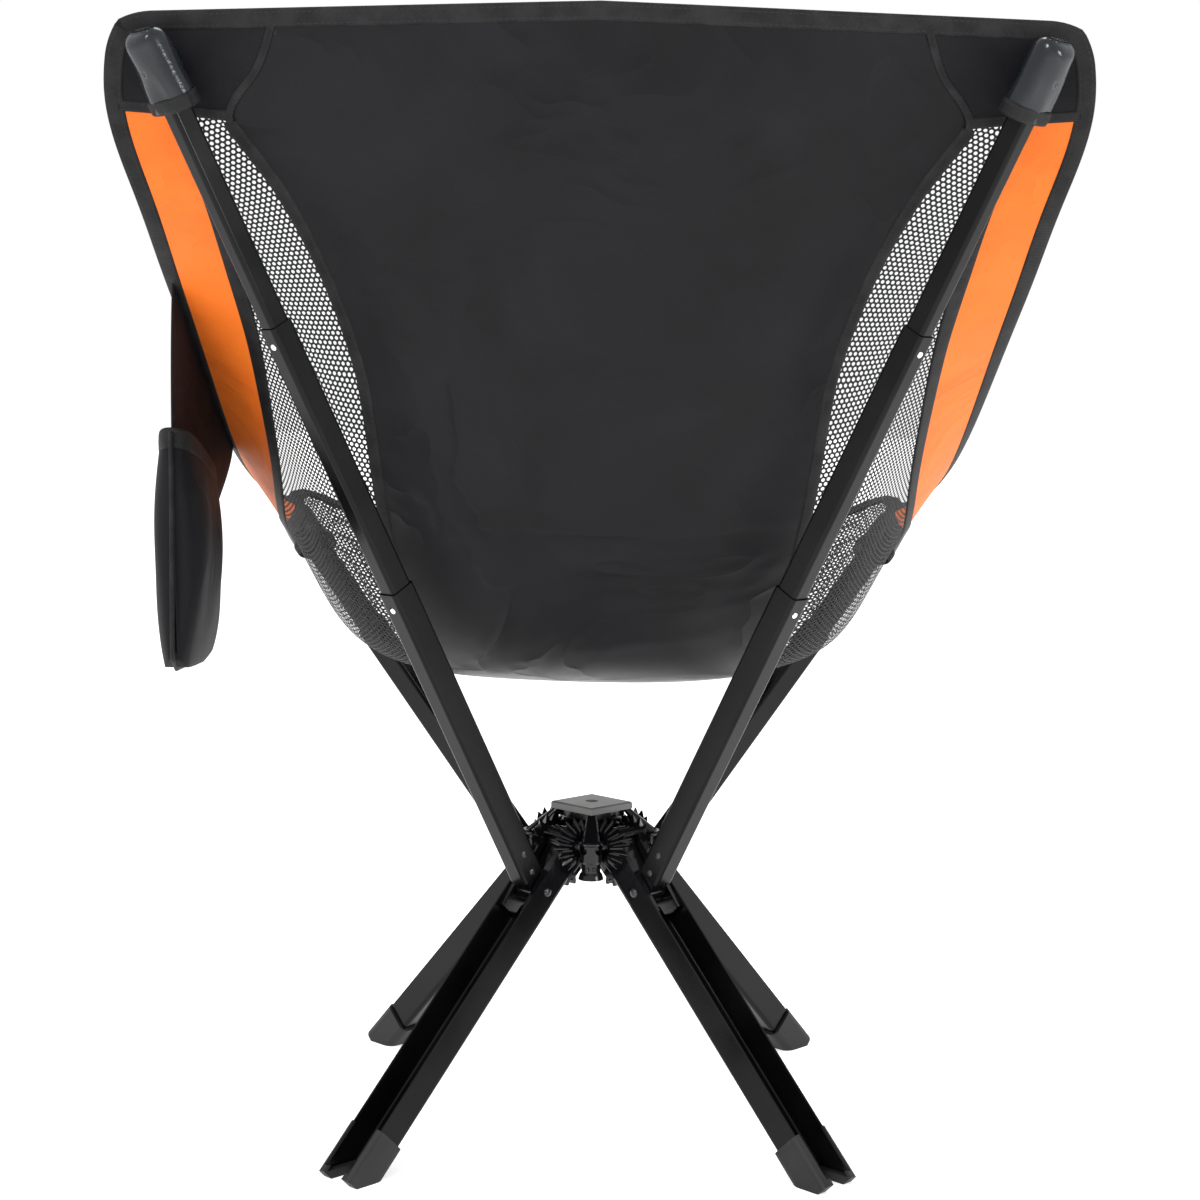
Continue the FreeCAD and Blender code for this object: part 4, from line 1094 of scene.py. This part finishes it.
@dataclass
class Pouch:
    """A flap hung from the left hem, with a sagging bag below its band."""

    surface: HungSurface
    materials: dict[str, bpy.types.Material]
    first_row: float = 3.32
    last_row: float = 6.6
    rear: float = -0.149
    front: float = 0.046
    band_rear_z: float = 0.572
    band_front_z: float = 0.530
    fullness: float = 0.021
    end_squareness: float = 0.45
    side_squareness: float = 0.8
    rear_x: float = -0.3200
    front_x: float = -0.3300
    foot_places: tuple[tuple[float, float], ...] = (
        (-0.149, 0.399), (-0.13, 0.389), (-0.05, 0.384), (0.03, 0.387), (0.046, 0.398),
    )

    def foot_z(self, y: np.ndarray) -> np.ndarray:
        """Height of the pouch's lower edge."""
        places = np.array(self.foot_places)
        return np.interp(y, places[:, 0], places[:, 1])

    def band_z(self, y: np.ndarray) -> np.ndarray:
        """Height of the bag's mouth, which falls towards the front."""
        rise = (self.band_front_z - self.band_rear_z) / (self.front - self.rear)
        return self.band_rear_z + rise * (y - self.rear)

    def plane_x(self, y: np.ndarray) -> np.ndarray:
        """The bag's middle, which hangs a little in at its rear end."""
        return self.rear_x + (self.front_x - self.rear_x) / (self.front - self.rear) * (y - self.rear)

    def flap(self) -> bpy.types.Object:
        """The sheet from the hem to the foot: it leaves the hem and settles into its plane."""
        share, down = np.meshgrid(np.linspace(0, 1, 60), np.linspace(0, 1, 90), indexing="ij")
        row = self.first_row + (self.last_row - self.first_row) * share
        top = self.surface.point(-0.985 * np.ones_like(row), row)
        y = self.rear + (self.front - self.rear) * share
        low = self.foot_z(y) + 0.004
        settle = np.clip(down * 1.6, 0, 1) ** 2 * (3.0 - 2.0 * np.clip(down * 1.6, 0, 1))
        points = np.stack(
            [
                top[..., 0] * (1 - settle) + self.plane_x(y) * settle - 0.003 * np.sin(down * 3.1),
                top[..., 1] * (1 - down) + y * down,
                top[..., 2] * (1 - down) + low * down,
            ],
            axis=-1,
        )
        piece = surface_object("pouch_flap", points)
        wall = piece.modifiers.new("thickness", "SOLIDIFY")
        wall.thickness = 0.0012
        dress(piece, self.materials["plain_polyester"])
        return piece

    def bag(self) -> bpy.types.Object:
        """The bag: flat ovals from the band to the foot, fullest half way, closed below."""
        down = np.append(np.linspace(0.0, 1.0, 60), 1.0)[:, None]
        turn = (np.arange(96) / 96 * math.tau)[None, :]
        full = self.fullness * (0.66 + 0.34 * np.sin(math.pi * down)) * (1.0 - 0.2 * down**12)
        full[-1] = 0.0
        length = (self.front - self.rear) / 2 - 0.002
        middle = (self.front + self.rear) / 2
        pull = 1.0 - 0.03 * np.sin(math.pi * down)
        y = middle + length * pull * squared(np.cos(turn), self.end_squareness)
        off = full * squared(np.sin(turn), self.side_squareness)
        off = off + 0.0012 * np.sin(y * 70 + down * 6) * np.sin(math.pi * down)
        z = self.band_z(y) * (1 - down) + self.foot_z(y) * down
        points = np.stack([self.plane_x(y) - 0.003 + off, y, z], axis=-1)
        piece = surface_object("pouch_bag", points, wrap_columns=True, flip=True)
        dress(piece, self.materials["plain_polyester"])
        return piece

    def band(self) -> bpy.types.Object:
        """The elastic band round the bag's mouth."""
        turn = np.arange(120) / 120 * math.tau
        length = (self.front - self.rear) / 2 - 0.002
        middle = (self.front + self.rear) / 2
        y = middle + length * squared(np.cos(turn), self.end_squareness)
        off = self.fullness * 0.68 * squared(np.sin(turn), self.side_squareness)
        path = np.stack([self.plane_x(y) - 0.003 + off, y, self.band_z(y) - 0.004], axis=-1)
        ahead = unit(np.roll(path, -1, axis=0) - np.roll(path, 1, axis=0))
        up = np.broadcast_to(np.array([0.0, 0.0, 1.0]), path.shape)
        out = unit(np.cross(ahead, up))
        points, uv = carried_profile(path, up, out, flat_oval(0.016, 0.0026, 3.0, 12))
        piece = surface_object(
            "pouch_band", points, uv, wrap_rows=True, wrap_columns=True, flip=True
        )
        dress(piece, self.materials["binding_tape"])
        return piece

    def edge_tape(self) -> bpy.types.Object:
        """The tape down the rear edge, round the foot and up the front edge."""
        share = np.linspace(0, 1, 160)
        y = self.rear + (self.front - self.rear) * np.clip((share - 0.3) / 0.4, 0, 1)
        down = np.clip(share / 0.3, 0, 1) * np.clip((1 - share) / 0.3, 0, 1)
        z = self.band_z(y) * (1 - down) + (self.foot_z(y) + 0.002) * down
        path = np.stack([self.plane_x(y) - 0.003, y, z], axis=-1)
        ahead = unit(np.gradient(path, axis=0))
        out = np.broadcast_to(np.array([-1.0, 0.0, 0.0]), path.shape)
        side = unit(np.cross(out, ahead))
        points, uv = carried_profile(path, side, out, flat_oval(0.010, 0.0034, 2.8, 12))
        piece = surface_object("pouch_edge_tape", points, uv, wrap_columns=True, caps=True)
        dress(piece, self.materials["binding_tape"])
        return piece

    def build(self, seat: Seat) -> list[bpy.types.Object]:
        """Builds the pouch, and reads its flap's vertex places and cloth coordinates.

        Args:
            seat: The seat whose fold it follows; not used.

        Returns:
            The pouch's pieces.
        """
        flap, bag, band, tape = self.flap(), self.bag(), self.band(), self.edge_tape()
        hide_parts("side_pouch")
        for piece in (flap, bag, band, tape):
            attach(piece, SEAT_BODY)
            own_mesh(piece)
            log.info("%s", piece.name)
        declare_sheet(flap)
        return [flap, bag, band, tape]


# The studio


@dataclass(frozen=True)
class Studio:
    """Floor, lights and camera."""

    distance: float = 1.8
    height: float = 0.6046
    pitch: float = 0.0950
    roll: float = 0.0113
    lens: float = 64.93
    shift: float = 0.0050

    def camera(self) -> None:
        """The camera behind the chair, a little above its middle and tipped down."""
        data = bpy.data.cameras.new("camera")
        data.lens = self.lens
        data.sensor_width = 36.0
        data.shift_x = self.shift
        data.clip_start = 0.05
        camera = bpy.data.objects.new("camera", data)
        tip = Matrix.Rotation(math.pi / 2 - self.pitch, 4, "X")
        lean = Matrix.Rotation(self.roll, 4, "Z")
        camera.matrix_world = Matrix.Translation((0, -self.distance, self.height)) @ tip @ lean
        bpy.context.scene.collection.objects.link(camera)
        bpy.context.scene.camera = camera

    def light(self, name: str, place: tuple, aim: tuple, size: float, power: float) -> None:
        """One soft panel of light, aimed at a point."""
        data = bpy.data.lights.new(name, "AREA")
        data.shape = "DISK"
        data.size = size
        data.energy = power
        lamp = bpy.data.objects.new(name, data)
        lamp.location = place
        lamp.rotation_euler = (Vector(aim) - Vector(place)).to_track_quat("-Z", "Y").to_euler()
        bpy.context.scene.collection.objects.link(lamp)

    def build(self) -> None:
        """Makes the studio."""
        half = 30.0
        corners = [(-half, -half, 0), (half, -half, 0), (half, half, 0), (-half, half, 0)]
        mesh = bpy.data.meshes.new("floor")
        mesh.from_pydata(corners, [], [(0, 1, 2, 3)])
        floor = bpy.data.objects.new("floor", mesh)
        bpy.context.scene.collection.objects.link(floor)
        material, _net, shader = start_material("pale_floor")
        shader.inputs["Base Color"].default_value = (0.93, 0.93, 0.93, 1.0)
        shader.inputs["Roughness"].default_value = 0.9
        shader.inputs["Specular IOR Level"].default_value = 0.1
        shader.inputs["Emission Color"].default_value = (1.0, 1.0, 1.0, 1.0)
        shader.inputs["Emission Strength"].default_value = 0.45
        dress(floor, material)
        world = bpy.data.worlds.new("studio")
        world.use_nodes = True
        background = world.node_tree.nodes["Background"]
        background.inputs["Color"].default_value = (1.0, 1.0, 1.0, 1.0)
        background.inputs["Strength"].default_value = 1.0
        bpy.context.scene.world = world
        bpy.context.scene.view_settings.view_transform = "Standard"
        self.light("key", (-1.6, -2.4, 2.2), (0, 0, 0.5), 0.9, 60.0)
        self.light("fill", (2.2, -1.4, 1.0), (0, 0, 0.45), 0.7, 26.0)
        self.light("top", (0.3, 0.6, 2.8), (0, 0, 0.4), 1.4, 36.0)
        self.camera()


def dress_nodes(materials: dict[str, bpy.types.Material]) -> None:
    """Gives every carried-over node the finish that its name calls for."""
    for name, node in frame["nodes"].items():
        kinds = [kind for kind in NODE_FINISH if kind in name]
        dress(node, materials[NODE_FINISH[max(kinds, key=len)]])
        log.info("%s: %s", name, NODE_FINISH[max(kinds, key=len)])


def main() -> None:
    """Builds the visual model in order."""
    logging.basicConfig(level=logging.INFO, format="%(name)s: %(message)s")
    groups = Groups()
    materials = {finish.name: finish.build(groups) for finish in FINISHES}
    Studio().build()
    dress_nodes(materials)
    surface = HungSurface()
    for corner in CORNERS:
        end = ArmEnd(corner, materials)
        end.pocket()
        end.pocket_rim()
    seat = Seat(surface, Seams(), materials)
    seat.build()
    Pouch(surface, materials).build(seat)


if __name__ == "__main__":
    main()
